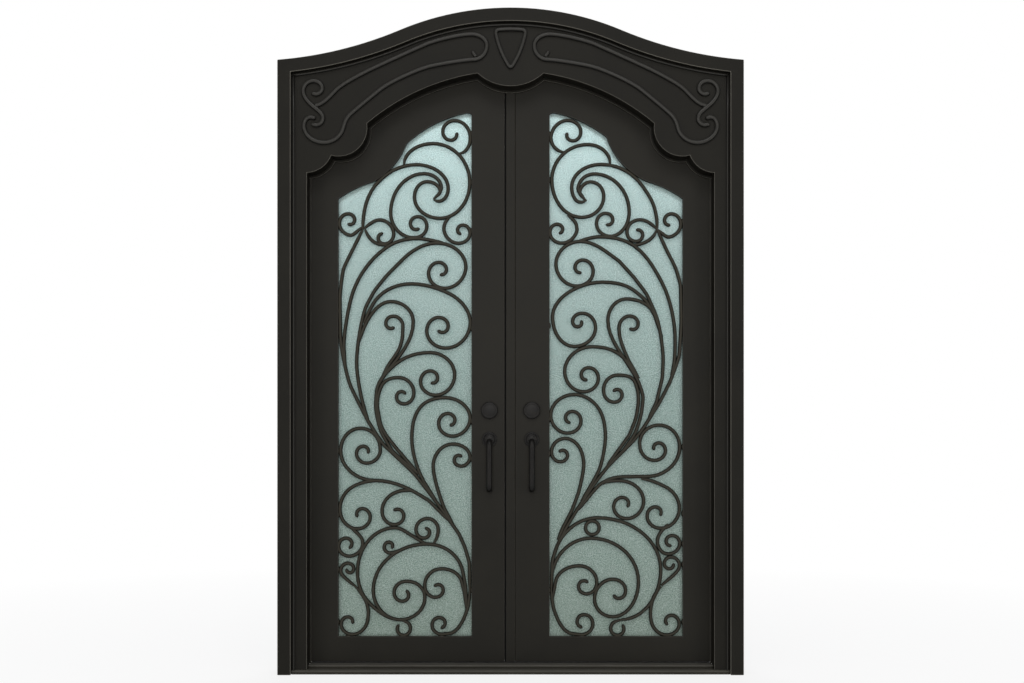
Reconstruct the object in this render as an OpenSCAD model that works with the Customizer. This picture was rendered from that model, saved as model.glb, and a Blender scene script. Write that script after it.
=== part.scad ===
// Pair of wrought iron entrance doors in a frame with a swan-neck arched head.
// X runs across the doorway, the street side faces -Y, Z is up.
// The origin is the middle of the sill's underside.

/* [Overall] */
// Width of the whole frame
frame_w = 1880; // [1700:10:2200]
// Height of the frame at its crown
crown_h = 2690; // [2250:5:3200]
// Rise of the crown above the frame's shoulders
crown_rise = 210; // [180:5:240]
// Radius of the crown's arc
crown_r = 1150; // [1050:10:1250]
// Slope of the head where it meets the shoulder, in degrees
shoulder_slope = 4.5; // [3:0.5:6]

/* [Frame] */
// Width of the face casing
casing_w = 54; // [40:1:60]
// Thickness of the face casing
casing_t = 28; // [16:1:36]
// Groove between the casing and the bead
bead_groove = 4; // [2:1:8]
// Width of the bead beside the casing
bead_w = 9; // [6:1:14]
// Height of the bead above the frame's face
bead_t = 9; // [5:1:14]
// Width of the jambs and head, seen from the street
jamb_w = 115; // [100:1:140]
// Depth of the jambs and head behind the casing
jamb_d = 132; // [120:1:160]
// Depth of the rebate that takes the leaves
rebate_d = 62; // [60:1:70]
// Step of the rebate behind the jamb's inner face
rebate_step = 21; // [16:1:28]
// Thickness of the stop strips
stop_t = 5; // [3:1:6]
// How far a stop strip shows past the jamb
stop_show = 6; // [3:1:10]
// How far the head's stop strip shows below the header
head_stop_show = 9; // [4:1:14]
// How far the head's stop strip runs up behind the header
head_stop_lap = 18; // [10:1:24]

/* [Threshold] */
// Height of the sill plate
sill_h = 16; // [10:1:24]
// How far the sill plate reaches in front of the jambs
sill_reach = 12; // [6:1:20]
// Height of the saddle on the sill plate
saddle_h = 14; // [8:1:24]
// Set-back of the saddle's front behind the jamb's face
saddle_back = 34; // [20:1:50]
// Slope run of the two nosings
nosing = 5; // [2:1:8]

/* [Header panel] */
// Drop of the header's lowest corners below the frame's shoulders
header_drop = 450; // [420:5:480]
// Width of the foot lobe
foot_lobe_w = 99; // [80:1:110]
// Rise of the foot lobe
foot_lobe_h = 71; // [60:1:90]
// Radius of the foot lobe
foot_lobe_r = 110; // [80:1:160]
// Width of the nick between the two lobes
nick_w = 15; // [8:1:24]
// Drop of the nick between the two lobes
nick_h = 4; // [0:1:10]
// Width of the shoulder lobe
shoulder_lobe_w = 129; // [110:1:150]
// Rise of the shoulder lobe
shoulder_lobe_h = 133; // [120:1:150]
// Radius of the shoulder lobe
shoulder_lobe_r = 116; // [110:1:180]
// Radius of the two long arches
arch_r = 911; // [800:1:1400]
// Height of the arches' inner corners above the foot
arch_rise = 403; // [380:1:420]
// Width of the middle drop
drop_w = 268; // [200:2:320]
// Radius of the middle drop
drop_r = 198; // [165:1:260]
// Width of the raised scrollwork on the header
strand_w = 18; // [14:1:20]
// Width of the thin curl inside the scrollwork
curl_w = 9; // [6:1:12]
// Height of the raised scrollwork
strand_t = 9; // [5:1:14]
// Width of the shield in the middle
shield_w = 124; // [100:1:130]
// Height of the shield
shield_h = 155; // [130:1:160]
// Radius of the shield's sides
shield_side_r = 380; // [250:10:600]
// Radius of the shield's top
shield_top_r = 480; // [400:10:800]
// Width of the shield's bar
shield_bar = 16; // [10:1:20]
// Gap between the shield and the bead above it
shield_gap = 17; // [15:1:30]

/* [Leaves] */
// Thickness of a leaf
leaf_t = 50; // [44:1:54]
// Gap between a leaf and the frame
leaf_gap = 6; // [5:0.5:8]
// Gap between a leaf and the saddle
floor_gap = 6; // [5:0.5:12]
// Gap between the stop strips and the leaves
stop_gap = 5; // [4:0.5:6]
// Width of the hinge stiles
hinge_stile_w = 131; // [110:1:150]
// Height of the bottom rails
bottom_rail_h = 103; // [90:1:160]
// Width of the strip that covers the meeting line
astragal_w = 35; // [28:1:44]
// How far the strip stands proud of the leaves
astragal_proud = 3; // [1:1:6]
// Gap at the meeting line
meeting_gap = 7.5; // [6:0.5:10]
// Thickness of the pile seal in the meeting gap
seal_t = 8; // [5:1:12]
// Set-back of the pile seal from the leaves' inner face
seal_back = 22; // [16:1:30]
// Clearance between the pile seal and the other leaf
seal_play = 0.8; // [0.5:0.1:2]
// Width of the lock stiles, measured from the middle of the doorway
lock_side = 160; // [140:1:180]
// Depth of the front lip that the glass rests against
lip_d = 20; // [16:1:24]
// Width of the glass rebate
glass_lap = 18; // [12:1:22]
// Thickness of the glass
glass_t = 6; // [4:1:10]
// Clearance round the glass
glass_play = 0.3; // [0.2:0.1:1]
// Width of the bead that keeps the glass in
glazing_w = 22; // [20:1:30]

/* [Openings] */
// Drop of an opening's outer corner below the header's corners
corner_drop = 89; // [70:1:120]
// Width of the curve beside the outer corner
hip_w = 149; // [130:1:170]
// Rise of the curve beside the outer corner
hip_h = 71; // [60:1:90]
// Radius of the curve beside the outer corner
hip_r = 486; // [400:1:600]
// Width of the hollow curve above it
hollow_w = 132; // [110:1:150]
// Rise of the hollow curve
hollow_h = 156; // [140:1:170]
// Radius of the hollow curve
hollow_r = 299; // [250:1:400]
// How far the right leaf's hollow ends nearer to the middle
hollow_more_w = 33; // [0:1:40]
// How far the right leaf's hollow ends higher
hollow_more_h = 27; // [0:1:32]
// Rise of the top curve
peak_h = 126; // [110:1:140]
// Radius of the top curve
peak_r = 523; // [450:1:700]
// Width of the blunt corner at the peak
peak_w = 22; // [14:1:30]

/* [Scroll grilles] */
// Width of a scroll bar
bar_w = 15; // [12:1:18]
// Depth of a scroll bar
bar_d = 14; // [10:1:16]
// Set-back of the bars behind the leaf's face
bar_back = 3; // [1:1:5]
// Clearance between the scrolls and the leaf
grille_fit = 0.2; // [0.1:0.1:0.6]
// Length of the welds at the edge of the opening
weld_l = 34; // [20:1:50]
// Turn between two points of a bar, in degrees
bar_step = 15; // [10:1:30]

/* [Handles] */
// Height of the pull rosettes
pull_h = 950; // [900:5:1050]
// Distance of the lock fittings from the middle of the doorway
backset = 87; // [70:1:110]
// Distance from the pull rosette up to the deadbolt
deadbolt_up = 119; // [100:1:160]
// Diameter of the deadbolt roses
deadbolt_d = 64; // [50:1:70]
// Diameter of the pull rosettes
rosette_d = 62; // [50:1:70]
// Thickness of the roses
rose_t = 11; // [6:1:16]
// Width of the roses' sloping rim
rose_rim = 11; // [4:1:14]
// Diameter of a pull grip
grip_d = 20; // [16:1:24]
// Length of a pull grip, from rosette to foot
grip_l = 205; // [160:5:260]
// Distance from the leaf to the middle of a pull grip
grip_reach = 52; // [45:1:65]
// Radius of the grip's bends
grip_bend = 26; // [20:1:32]

/* [Hinges] */
// Height of the lowest hinge
low_hinge_z = 250; // [150:5:350]
// Height of the highest hinge above the header's corners
high_hinge_up = 120; // [0:5:160]
// Radius of a hinge barrel
barrel_r = 12; // [9:0.5:14]
// Radius of a hinge pin
pin_r = 7; // [5:0.5:8]
// Clearance between pin and bore, on the radius
pin_play = 0.05; // [0.02:0.01:0.1]
// Length of one knuckle
knuckle_l = 55; // [40:1:80]
// Gap between two knuckles
knuckle_gap = 1; // [0.5:0.5:2]
// Width of the hinge plates
plate_w = 46; // [30:1:60]
// Thickness of the hinge plates
plate_t = 4; // [3:0.5:6]
// How far the barrel's middle stands off the leaf
barrel_off = 15; // [14:0.5:18]

/* [Anchors] */
// Radius of the holes for the wall anchors
anchor_r = 6; // [4:0.5:8]
// Height of the lower anchor
low_anchor_z = 500; // [300:5:700]
// Drop of the upper anchor below the header's corners
high_anchor_drop = 130; // [80:5:300]
// Distance of the anchors behind the frame's face
anchor_back = 100; // [80:1:110]

/* [Hidden] */
$fn = 48;
eps = 0.01;
arc_n = 14;
half_w = frame_w / 2;
shoulder_h = crown_h - crown_rise;
foot_h = shoulder_h - header_drop;
y_front = -(casing_t + jamb_d) / 2;
y_face = y_front + casing_t;
y_back = y_face + jamb_d;
y_stop = y_back - rebate_d;
y_leaf = y_stop + stop_t + stop_gap;
y_inner = y_leaf + leaf_t;
jamb_x = half_w - jamb_w;
rebate_x = jamb_x + rebate_step;
leaf_x = rebate_x - leaf_gap;
leaf_inset = half_w - leaf_x;
saddle_z = sill_h + saddle_h;
leaf_z = saddle_z + floor_gap;
bead_in = casing_w + bead_groove;
hinge_x = (leaf_x + rebate_x) / 2;
hinge_y = y_inner + barrel_off;
open_x = leaf_x - hinge_stile_w;
open_z = leaf_z + bottom_rail_h;
open_w = open_x - lock_side;
corner_z = foot_h - corner_drop;
open_h = corner_z + hip_h + hollow_h + peak_h - open_z;
hinge_z = [low_hinge_z, (low_hinge_z + foot_h + high_hinge_up) / 2, foot_h + high_hinge_up];
anchor_z = [low_anchor_z, foot_h - high_anchor_drop];
right_edge = astragal_w / 2;
left_edge = right_edge + meeting_gap;

// The swan-neck head: a crown arc between two side arcs that touch it.
crown_z = crown_h - crown_r;
neck_h = shoulder_h - crown_z;
neck_r = (pow(half_w, 2) + pow(neck_h, 2) - pow(crown_r, 2))
    / (2 * (crown_r - half_w * sin(shoulder_slope) - neck_h * cos(shoulder_slope)));
neck_c = [half_w + neck_r * sin(shoulder_slope), shoulder_h + neck_r * cos(shoulder_slope)];
neck_a = atan2(neck_c.x, neck_c.y - crown_z);

function way(a) = [cos(a), sin(a)];
function arc_points(c, r, a0, a1, n) = [for (i = [0:n]) c + r * way(a0 + (a1 - a0) * i / n)];
// The shorter turn from one angle to another.
function turn_of(a, b) = (b - a + 900) % 360 - 180;
// An arc from p to q that bulges to the left of the way for r > 0; p itself is left out.
function arc_to(p, q, r, n) =
    let (d = q - p, len = norm(d), side = [-d.y, d.x] / len)
    let (c = (p + q) / 2 - sign(r) * side * sqrt(r * r - len * len / 4))
    let (a0 = atan2(p.y - c.y, p.x - c.x), a1 = atan2(q.y - c.y, q.x - c.x))
    [for (i = [1:n]) c + abs(r) * way(a0 + turn_of(a0, a1) * i / n)];
function flip(list) = [for (i = [len(list) - 1:-1:0]) [-list[i].x, list[i].y]];
function turned(list) = [for (i = [len(list) - 1:-1:0]) list[i]];

// Right half of the head's edge, moved in by t, from the crown to the shoulder.
function neck_end(t) = asin((neck_c.x - half_w + t) / (neck_r + t));
function half_edge(t) = concat(
    arc_points([0, crown_z], crown_r - t, 90, 90 - neck_a, arc_n),
    [for (i = [1:arc_n]) let (a = neck_a + (neck_end(t) - neck_a) * i / arc_n)
        neck_c - (neck_r + t) * [sin(a), cos(a)]]);
function top_edge(t) = concat(flip(half_edge(t)), [for (i = [1:2 * arc_n]) half_edge(t)[i]]);
function shoulder_z(t) = neck_c.y - (neck_r + t) * cos(neck_end(t));
function head_ring(t0, t1) = concat(top_edge(t0), turned(top_edge(t1)));
function side_strip(t0, t1, z0) = [
    [half_w - t0, z0],
    [half_w - t0, shoulder_z(t0)],
    [half_w - t1, shoulder_z(t1)],
    [half_w - t1, z0]];

// Lower edge of the header, from the right jamb to the left one.
foot = [jamb_x, foot_h];
cusp = foot + [-foot_lobe_w, foot_lobe_h];
nick = cusp - [nick_w, nick_h];
haunch = nick + [-shoulder_lobe_w, shoulder_lobe_h];
spring = [drop_w / 2, foot_h + arch_rise];
half_ogee = concat([foot],
    arc_to(foot, cusp, foot_lobe_r, 8),
    [nick],
    arc_to(nick, haunch, shoulder_lobe_r, 10),
    arc_to(haunch, spring, -arch_r, 14));
ogee = concat(half_ogee,
    arc_to(spring, [-spring.x, spring.y], drop_r, 12),
    [for (i = [len(half_ogee) - 2:-1:0]) [-half_ogee[i].x, half_ogee[i].y]]);

// Opening of a leaf, on the right side: its head follows the header's lobes.
// Its curves and scrolls were drawn on an opening of this width and height.
drawn = [549, 2155];
across = open_w / drawn.x;
corner = [open_x, corner_z];
hip = corner + [-hip_w * across, hip_h];
peak = [lock_side + peak_w, open_z + open_h];
function hollow_end(side) = side < 0
    ? hip + [-hollow_w * across, hollow_h]
    : hip + [-(hollow_w + hollow_more_w) * across, hollow_h + hollow_more_h];
function opening(side) = concat([[lock_side, open_z], [open_x, open_z], corner],
    arc_to(corner, hip, -hip_r, 5),
    arc_to(hip, hollow_end(side), hollow_r, 8),
    arc_to(hollow_end(side), peak, -peak_r, 9),
    arc_to(peak, [lock_side, peak.y - peak_w / 3], -peak_w, 4));

// Scroll bars. A knot is [across, up, heading] and a volute is
// [across, up, mouth radius, eye radius, mouth angle, sweep], measured from the
// opening's lower corner at the hinge side.
left_scrolls = [
    [[[498, 1989, 5]], [468, 2071, 73, 18, 0, 375]],
    [[[270, 1944, 90], [390, 2030, 0], [541, 1870, -90], [418, 1722, 180], [313, 1810, 90],
      [365, 1873, 0], [419, 1835, -80], [392, 1801, -130]], []],
    [[[100, 1676, 90], [150, 1856, 52], [320, 1943, 0], [452, 1845, -90], [412, 1792, 180],
      [392, 1801, 140]], []],
    [[[410, 1818, 60], [424, 1850, 95], [352, 1906, 180], [215, 1745, -90]], [322, 1696, 53, 18, -90, 400]],
    [[[460, 1728, -140], [434, 1680, -90]], [507, 1670, 72, 11, 180, 450]],
    [[[98, 1685, -150]], [46, 1711, 59, 12, -90, -400]],
    [[[105, 1678, 45]], [182, 1646, 68, 11, 90, -370]],
    [[[110, 1675, -70], [165, 1616, -15], [210, 1612, 10]], []],
    [[[541, 190, 90], [539, 301, 93], [522, 363, 104], [498, 418, 112], [445, 495, 121], [310, 672, 132],
      [190, 785, 135], [120, 890, 120], [50, 1030, 112], [8, 1240, 92], [6, 1400, 87], [21, 1515, 72],
      [52, 1580, 60], [100, 1676, 62]], []],
    [[[30, 1100, 103], [22, 1200, 90], [60, 1420, 70], [210, 1610, 32], [330, 1639, 0],
      [430, 1622, -14]], []],
    [[[125, 885, 115], [75, 1110, 93], [111, 1353, 71], [150, 1426, 57], [202, 1490, 48], [272, 1560, 43],
      [400, 1620, 2]], [421, 1506, 102, 15, 0, -465]],
    [[[104, 1290, 70], [155, 1388, 50], [300, 1452, 0], [460, 1410, -28]], [423, 1272, 118, 16, 0, -505]],
    [[[86, 1215, 82], [104, 1270, 66], [215, 1379, 0], [308, 1295, -90], [240, 1140, -128], [157, 1012, -98],
      [153, 950, -88], [176, 843, -66], [224, 760, -51], [330, 668, -48]], []],
    [[[170, 1040, 66], [210, 1124, 50], [248, 1180, 64], [264, 1245, 90]], [219, 1285, 46, 14, 0, 320]],
    [[[165, 1030, 72], [240, 1125, 38], [375, 1169, 0]], [385, 1060, 92, 15, 0, -470]],
    [[[330, 668, 132], [244, 768, 130], [172, 880, 103], [160, 950, 91], [180, 1036, 60], [246, 1066, 0]],
     [263, 991, 46, 13, 0, -340]],
    [[[405, 555, 128], [350, 640, 118], [302, 815, 90], [337, 944, 50], [438, 983, 0]],
     [457, 886, 84, 16, 0, -450]],
    [[[472, 462, 122], [436, 527, 112], [390, 700, 90], [472, 792, 0]], [498, 731, 43, 11, 0, -330]],
    [[[452, 478, 135], [370, 560, 146], [150, 642, 180], [9, 765, 90], [90, 857, 0], [172, 772, -90]],
     [107, 760, 65, 14, 0, -390]],
    [[[170, 640, 175], [70, 622, 204]], [92, 500, 83, 14, 180, 400]],
    [[[318, 596, 160], [262, 600, 188]], [239, 502, 58, 18, 180, 310]],
    [[[45, 452, -40], [100, 386, -88]], [36, 378, 64, 15, 0, -430]],
    [[[70, 205, 140]], [44, 275, 35, 9, 180, -380]],
    [[[70, 205, -40], [110, 150, -62]], [44, 58, 74, 12, 0, -390]],
    [[[528, 110, 95], [518, 184, 101], [505, 232, 112], [425, 278, 180]], [407, 196, 50, 13, 180, 330]],
    [[[541, 190, -91], [534, 125, -101], [510, 60, -120], [468, 14, -156]], [419, 51, 44, 16, -75, -370]],
    [[[255, 67, -10]], [267, 31, 31, 24, 60, -285]],
    [[[255, 68, 180], [120, 145, 132], [78, 265, 90], [232, 447, 0], [310, 410, -30], [365, 382, -5]], []],
    [[[392, 382, 55], [411, 438, 90]], [357, 431, 53, 12, 90, 370]],
    [[[528, 125, 92], [524, 195, 93], [508, 282, 108], [365, 380, 180], [143, 190, -90], [255, 68, 0],
      [356, 160, 90]], [268, 173, 52, 17, 90, 330]],
    [[[270, 361, 197]], [210, 371, 28, 11, -90, -320]]];
// The right leaf is bent by hand to the same design, with other curls at its foot.
right_scrolls = [
    [[[488, 1994, 5]], [459, 2068, 82, 16, 0, 385]],
    [[[299, 1948, 92], [392, 2026, 0], [539, 1880, -90], [416, 1726, 180], [325, 1812, 90],
      [378, 1872, 0], [424, 1832, -80], [400, 1796, -130]], []],
    [[[105, 1676, 90], [106, 1715, 88], [117, 1770, 74], [179, 1872, 50], [337, 1944, 0], [457, 1851, -90],
      [420, 1788, 180], [396, 1798, 140]], []],
    [[[407, 1806, 60], [431, 1845, 95], [364, 1905, 180], [220, 1748, -90]], [310, 1711, 62, 14, -90, 385]],
    [[[474, 1736, -138], [437, 1690, -92]], [511, 1673, 76, 11, 180, 450]],
    [[[105, 1676, -148]], [53, 1709, 64, 14, -90, -370]],
    [[[105, 1676, 48]], [187, 1658, 57, 15, 90, -380]],
    [[[108, 1672, -72], [165, 1619, -18], [208, 1612, 8]], []],
    [[[541, 190, 90], [537, 305, 93], [515, 377, 110], [481, 445, 116], [440, 514, 121], [357, 637, 127],
      [309, 699, 130], [206, 802, 134], [158, 864, 122], [97, 960, 118], [55, 1042, 113], [14, 1160, 98],
      [6, 1290, 90], [9, 1447, 82], [28, 1515, 70], [59, 1577, 60], [105, 1676, 66]], []],
    [[[48, 1075, 115], [31, 1225, 90], [83, 1453, 63], [203, 1611, 34], [350, 1646, 0],
      [440, 1624, -18]], []],
    [[[140, 900, 116], [108, 965, 106], [84, 1065, 98], [80, 1140, 90], [108, 1318, 70], [150, 1412, 58],
      [200, 1478, 51], [262, 1546, 44], [330, 1595, 36], [400, 1625, 10]], [419, 1515, 101, 16, 0, -460]],
    [[[107, 1302, 70], [148, 1378, 54], [206, 1429, 34], [330, 1459, 0], [460, 1423, -30], [536, 1316, -90],
      [447, 1194, 180], [359, 1272, 90], [414, 1331, 0]], [430, 1293, 23, 12, 0, -220]],
    [[[84, 1232, 68], [117, 1327, 66], [230, 1390, 0], [308, 1302, -90], [242, 1146, -124], [181, 1046, -112],
      [163, 985, -94], [170, 920, -80], [200, 829, -60], [245, 765, -50], [310, 700, -48]], []],
    [[[180, 1062, 64], [220, 1131, 56], [241, 1179, 64], [259, 1235, 80]], [209, 1282, 52, 15, 0, 310]],
    [[[178, 1035, 72], [220, 1122, 54], [261, 1162, 36], [371, 1193, 0]], [394, 1073, 90, 16, 0, -460]],
    [[[310, 706, 131], [254, 781, 126], [220, 829, 118], [193, 898, 105], [182, 966, 92], [199, 1052, 62],
      [268, 1076, 0]], [274, 1000, 50, 13, 0, -330]],
    [[[418, 556, 125], [344, 685, 112], [318, 820, 90], [357, 953, 48], [445, 996, 0]],
     [461, 896, 81, 15, 0, -450]],
    [[[515, 397, 113], [491, 452, 118], [455, 522, 112], [428, 595, 106], [407, 705, 90], [422, 772, 62],
      [484, 815, 0]], [497, 750, 42, 13, 0, -330]],
    [[[430, 520, 128], [345, 622, 140], [270, 655, 170], [150, 658, 181], [12, 781, 90], [97, 870, 0],
      [177, 795, -90]], [104, 774, 71, 13, 0, -390]],
    [[[170, 648, 178], [75, 618, 205]], [106, 506, 90, 14, 180, 400]],
    [[[330, 628, 150], [261, 641, 180]], [243, 543, 81, 17, 180, 400]],
    [[[60, 462, -45], [104, 392, -90], [60, 339, 180], [12, 383, 90]], [48, 388, 36, 14, 180, -280]],
    [[[88, 208, 136]], [52, 296, 39, 13, 180, -380]],
    [[[88, 205, -45], [122, 155, -72]], [52, 60, 77, 14, 0, -420]],
    [[[534, 160, 97], [522, 232, 108], [426, 290, 180]], [403, 210, 48, 15, 180, 325]],
    [[[541, 190, -91], [534, 125, -101], [510, 60, -120], [468, 14, -156]], [410, 57, 52, 20, -75, -370]],
    [[[255, 67, -10]], [267, 31, 31, 24, 60, -285]],
    [[[536, 300, 95], [350, 488, 180], [90, 275, -90], [255, 68, 0]], []],
    [[], [372, 447, 28, 28, 0, 360]],
    [[[538, 250, 95], [378, 404, 180], [182, 225, -90], [288, 80, 0]], [270, 177, 90, 14, 0, 340]]];
// Places of a leaf's welds: up the hinge side, up the lock side, and along the bottom.
left_welds = [[1708, 1340, 765, 500, 275, 60], [2071, 1870, 1670, 1268, 886, 731, 190], [40, 262, 425]];
right_welds = [[1709, 1320, 781, 506, 381, 296, 60], [2068, 1880, 1673, 1280, 896, 754, 190], [52, 262, 415]];

// Length of a knot's handle: that of a true arc where the knots lie on one.
function reach(d, h, turn) = max(abs(d * way(h)), norm(d) / 3) * handle_share(abs(turn));
function handle_share(turn) = turn < 1 ? 1 / 3 : 4 / 3 * tan(turn / 4) / max(0.5, sin(turn));
function cubic(p, a, b, q, t) =
    let (u = 1 - t)
    u * u * u * p + 3 * u * u * t * a + 3 * u * t * t * b + t * t * t * q;
// Points of the curve between two knots, the first left out.
function span(k0, k1) =
    let (p = [k0[0], k0[1]], q = [k1[0], k1[1]], d = q - p, turn = turn_of(k0[2], k1[2]))
    let (a = p + way(k0[2]) * reach(d, k0[2], turn), b = q - way(k1[2]) * reach(d, k1[2], turn))
    let (n = max(3, ceil(abs(turn) / bar_step)))
    [for (i = [1:n]) cubic(p, a, b, q, i / n)];
function volute_at(v, t) = [v[0], v[1]] + v[2] * pow(v[3] / v[2], t) * way(v[4] + v[5] * t);
function volute_lean(v) = atan(ln(v[2] / v[3]) / (abs(v[5]) * PI / 180));
function volute_knot(v) = let (m = volute_at(v, 0)) [m.x, m.y, v[4] + sign(v[5]) * (90 + volute_lean(v))];
function volute(v) = let (n = ceil(abs(v[5]) / bar_step)) [for (i = [1:n]) volute_at(v, i / n)];
function knots_of(s) = s[1] == [] ? s[0] : concat(s[0], [volute_knot(s[1])]);
function route(s) =
    let (k = knots_of(s))
    concat([[k[0][0], k[0][1]]],
        [for (i = [1:1:len(k) - 1]) each span(k[i - 1], k[i])],
        s[1] == [] ? [] : volute(s[1]));
// Fits a point of the drawing to the opening, with the bars at its edges kept on them.
function fitted(p) = [
    bar_w / 2 + (p.x - bar_w / 2) * (open_w - bar_w) / (drawn.x - bar_w),
    bar_w / 2 + (p.y - bar_w / 2) * (open_h - bar_w) / (drawn.y - bar_w)];
function side_of(pts, i) =
    let (d = pts[min(i + 1, len(pts) - 1)] - pts[max(i - 1, 0)])
    [-d.y, d.x] / norm(d);
// Outline of a thin strip along a route.
function strip(pts, w) = concat(
    [for (i = [0:len(pts) - 1]) pts[i] + side_of(pts, i) * w / 2],
    [for (i = [len(pts) - 1:-1:0]) pts[i] - side_of(pts, i) * w / 2]);
// Width of the strip before it is widened to a bar.
spine = 2;

// Raised strands of the left half of the header, as knots, on a header with
// jambs this far from the middle and a crown this high.
strand_drawn = [825, 2690];
strands = [
    [[-790, 2300, 10], [-705, 2365, 46], [-573, 2444, 27], [-330, 2554, 20], [-160, 2590, 0],
     [-96, 2545, -90], [-150, 2487, 180], [-330, 2459, 195], [-522, 2370, 216], [-652, 2262, 226],
     [-676, 2214, -102], [-755, 2151, 180], [-836, 2222, 88], [-809, 2254, 0], [-789, 2246, -38]],
    [[-803, 2356, -65], [-788, 2347, 0], [-762, 2372, 90], [-797, 2401, 180], [-839, 2361, -90],
     [-800, 2299, -40], [-759, 2252, -88], [-787, 2222, 180], [-807, 2226, 165]]];
curls = [[[-156, 2522, -62], [-140, 2499, -45]]];
function on_header(p) = [p.x * jamb_x / strand_drawn.x, p.y + crown_h - strand_drawn.y];

// Prism with its outline in the X-Z plane, from y0 back to y1.
module slab(y0, y1) translate([0, y1, 0]) rotate([90, 0, 0]) linear_extrude(y1 - y0) children();
module on_side(side) mirror([side < 0 ? 1 : 0, 0, 0]) children();
module iron() color([0.16, 0.155, 0.15]) children();
module dark_metal() color([0.1, 0.1, 0.1]) children();

module jamb(side) iron() on_side(side) difference() {
    union() {
        slab(y_face, y_stop) polygon(side_strip(0, jamb_w, sill_h));
        slab(y_stop, y_back) polygon(side_strip(0, jamb_w - rebate_step, sill_h));
    }
    for (z = anchor_z)
        translate([jamb_x - eps, y_face + anchor_back, z]) rotate([0, 90, 0])
            cylinder(r = anchor_r, h = jamb_w + 1);
}
module head_arch() iron() {
    slab(y_face, y_stop) polygon(head_ring(0, jamb_w));
    slab(y_stop, y_back) polygon(head_ring(0, jamb_w - rebate_step));
}
module header_panel() iron() slab(y_face, y_stop) polygon(concat(top_edge(jamb_w), ogee));
module casing(side) iron() on_side(side) slab(y_front, y_face) polygon(side_strip(0, casing_w, 0));
module head_casing() iron() slab(y_front, y_face) polygon(head_ring(0, casing_w));
module bead(side) iron() on_side(side)
    slab(y_face - bead_t, y_face) polygon(side_strip(bead_in, bead_in + bead_w, sill_h));
module head_bead() iron() slab(y_face - bead_t, y_face) polygon(head_ring(bead_in, bead_in + bead_w));
module stop(side) iron() on_side(side)
    translate([jamb_x - stop_show, y_stop, saddle_z])
        cube([rebate_step + stop_show, stop_t, foot_h - head_stop_show - saddle_z]);
module head_stop() iron() slab(y_stop, y_stop + stop_t) intersection() {
    difference() {
        offset(delta = head_stop_show) polygon(concat(top_edge(jamb_w), ogee));
        offset(delta = -head_stop_lap) polygon(concat(top_edge(jamb_w), ogee));
    }
    translate([-rebate_x, foot_h - head_stop_show]) square([2 * rebate_x, spring.y + head_stop_lap - foot.y]);
}
module threshold() iron() translate([-jamb_x, 0, sill_h]) rotate([90, 0, 90]) linear_extrude(2 * jamb_x)
    polygon([[y_face + saddle_back, 0], [y_face + saddle_back, saddle_h - nosing],
        [y_face + saddle_back + nosing, saddle_h], [y_back, saddle_h], [y_back, 0]]);
module sill_nose() iron() {
    translate([-half_w, y_face, 0]) cube([frame_w, jamb_d, sill_h]);
    translate([-half_w + casing_w, 0, 0]) rotate([90, 0, 90]) linear_extrude(frame_w - 2 * casing_w)
        polygon([[y_face - sill_reach, 0], [y_face - sill_reach, sill_h - nosing],
            [y_face - sill_reach + nosing, sill_h], [y_face + eps, sill_h], [y_face + eps, 0]]);
}
module ribbons(list, w) offset(delta = (w - spine) / 2) for (k = list)
    polygon(strip([for (p = route([k, []])) on_header(p)], spine));
module header_scroll(side) iron() on_side(-side) slab(y_face - strand_t, y_face) {
    ribbons(strands, strand_w);
    ribbons(curls, curl_w);
}
module keystone_bead() iron() slab(y_face - strand_t, y_face)
    translate([0, crown_h - bead_in - bead_w - shield_gap - shield_h]) difference() {
        offset(r = shield_bar / 2) shield_area();
        offset(r = -shield_bar / 2) shield_area();
    }
shield_corner = [shield_w / 2, shield_h];
module shield_area() polygon(concat(
    arc_to([0, 0], shield_corner, -shield_side_r, 8),
    arc_to(shield_corner, [-shield_corner.x, shield_h], -shield_top_r, 8),
    arc_to([-shield_corner.x, shield_h], [0, 0], -shield_side_r, 8)));

// One member of a leaf: the part of the leaf's outline in a box, less the opening and the glass rebate.
function leaf_outline() = concat([[leaf_x, leaf_z]], turned(half_edge(leaf_inset)), [[0, leaf_z]]);
module member(side, x0, x1, z0, z1) iron() on_side(side) {
    slab(y_leaf, y_leaf + lip_d) difference() {
        member_area(x0, x1, z0, z1);
        polygon(opening(side));
    }
    slab(y_leaf + lip_d, y_inner) difference() {
        member_area(x0, x1, z0, z1);
        offset(delta = glass_lap) polygon(opening(side));
    }
}
module member_area(x0, x1, z0, z1) intersection() {
    polygon(leaf_outline());
    translate([x0, z0]) square([x1 - x0, z1 - z0]);
}
module hinge_stile(side) member(side, open_x, leaf_x + 1, leaf_z, crown_h);
module lock_stile(side, edge) member(side, edge, lock_side, leaf_z, crown_h);
module top_rail(side) member(side, lock_side, open_x, open_z + bottom_rail_h, crown_h);
module bottom_rail(side) member(side, lock_side, open_x, leaf_z, open_z + bottom_rail_h);
module glass(side) color([0.7, 0.82, 0.8, 0.6]) on_side(side)
    slab(y_leaf + lip_d + glass_play, y_leaf + lip_d + glass_play + glass_t)
        offset(delta = glass_lap - glass_play) polygon(opening(side));
module glazing_frame(side) iron() on_side(side)
    slab(y_leaf + lip_d + 2 * glass_play + glass_t, y_inner) difference() {
        offset(delta = glass_lap - glass_play) polygon(opening(side));
        offset(delta = glass_lap - glass_play - glazing_w) polygon(opening(side));
    }
module scrollwork(list) for (s = list) polygon(strip([for (p = route(s)) fitted(p)], spine));
module welds(places) {
    for (z = places[0]) translate(fitted([bar_w / 2, z])) square([spine, weld_l], center = true);
    for (z = places[1]) translate(fitted([drawn.x - bar_w / 2, z])) square([spine, weld_l], center = true);
    for (x = places[2]) translate(fitted([x, bar_w / 2])) square([weld_l, spine], center = true);
}
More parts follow.
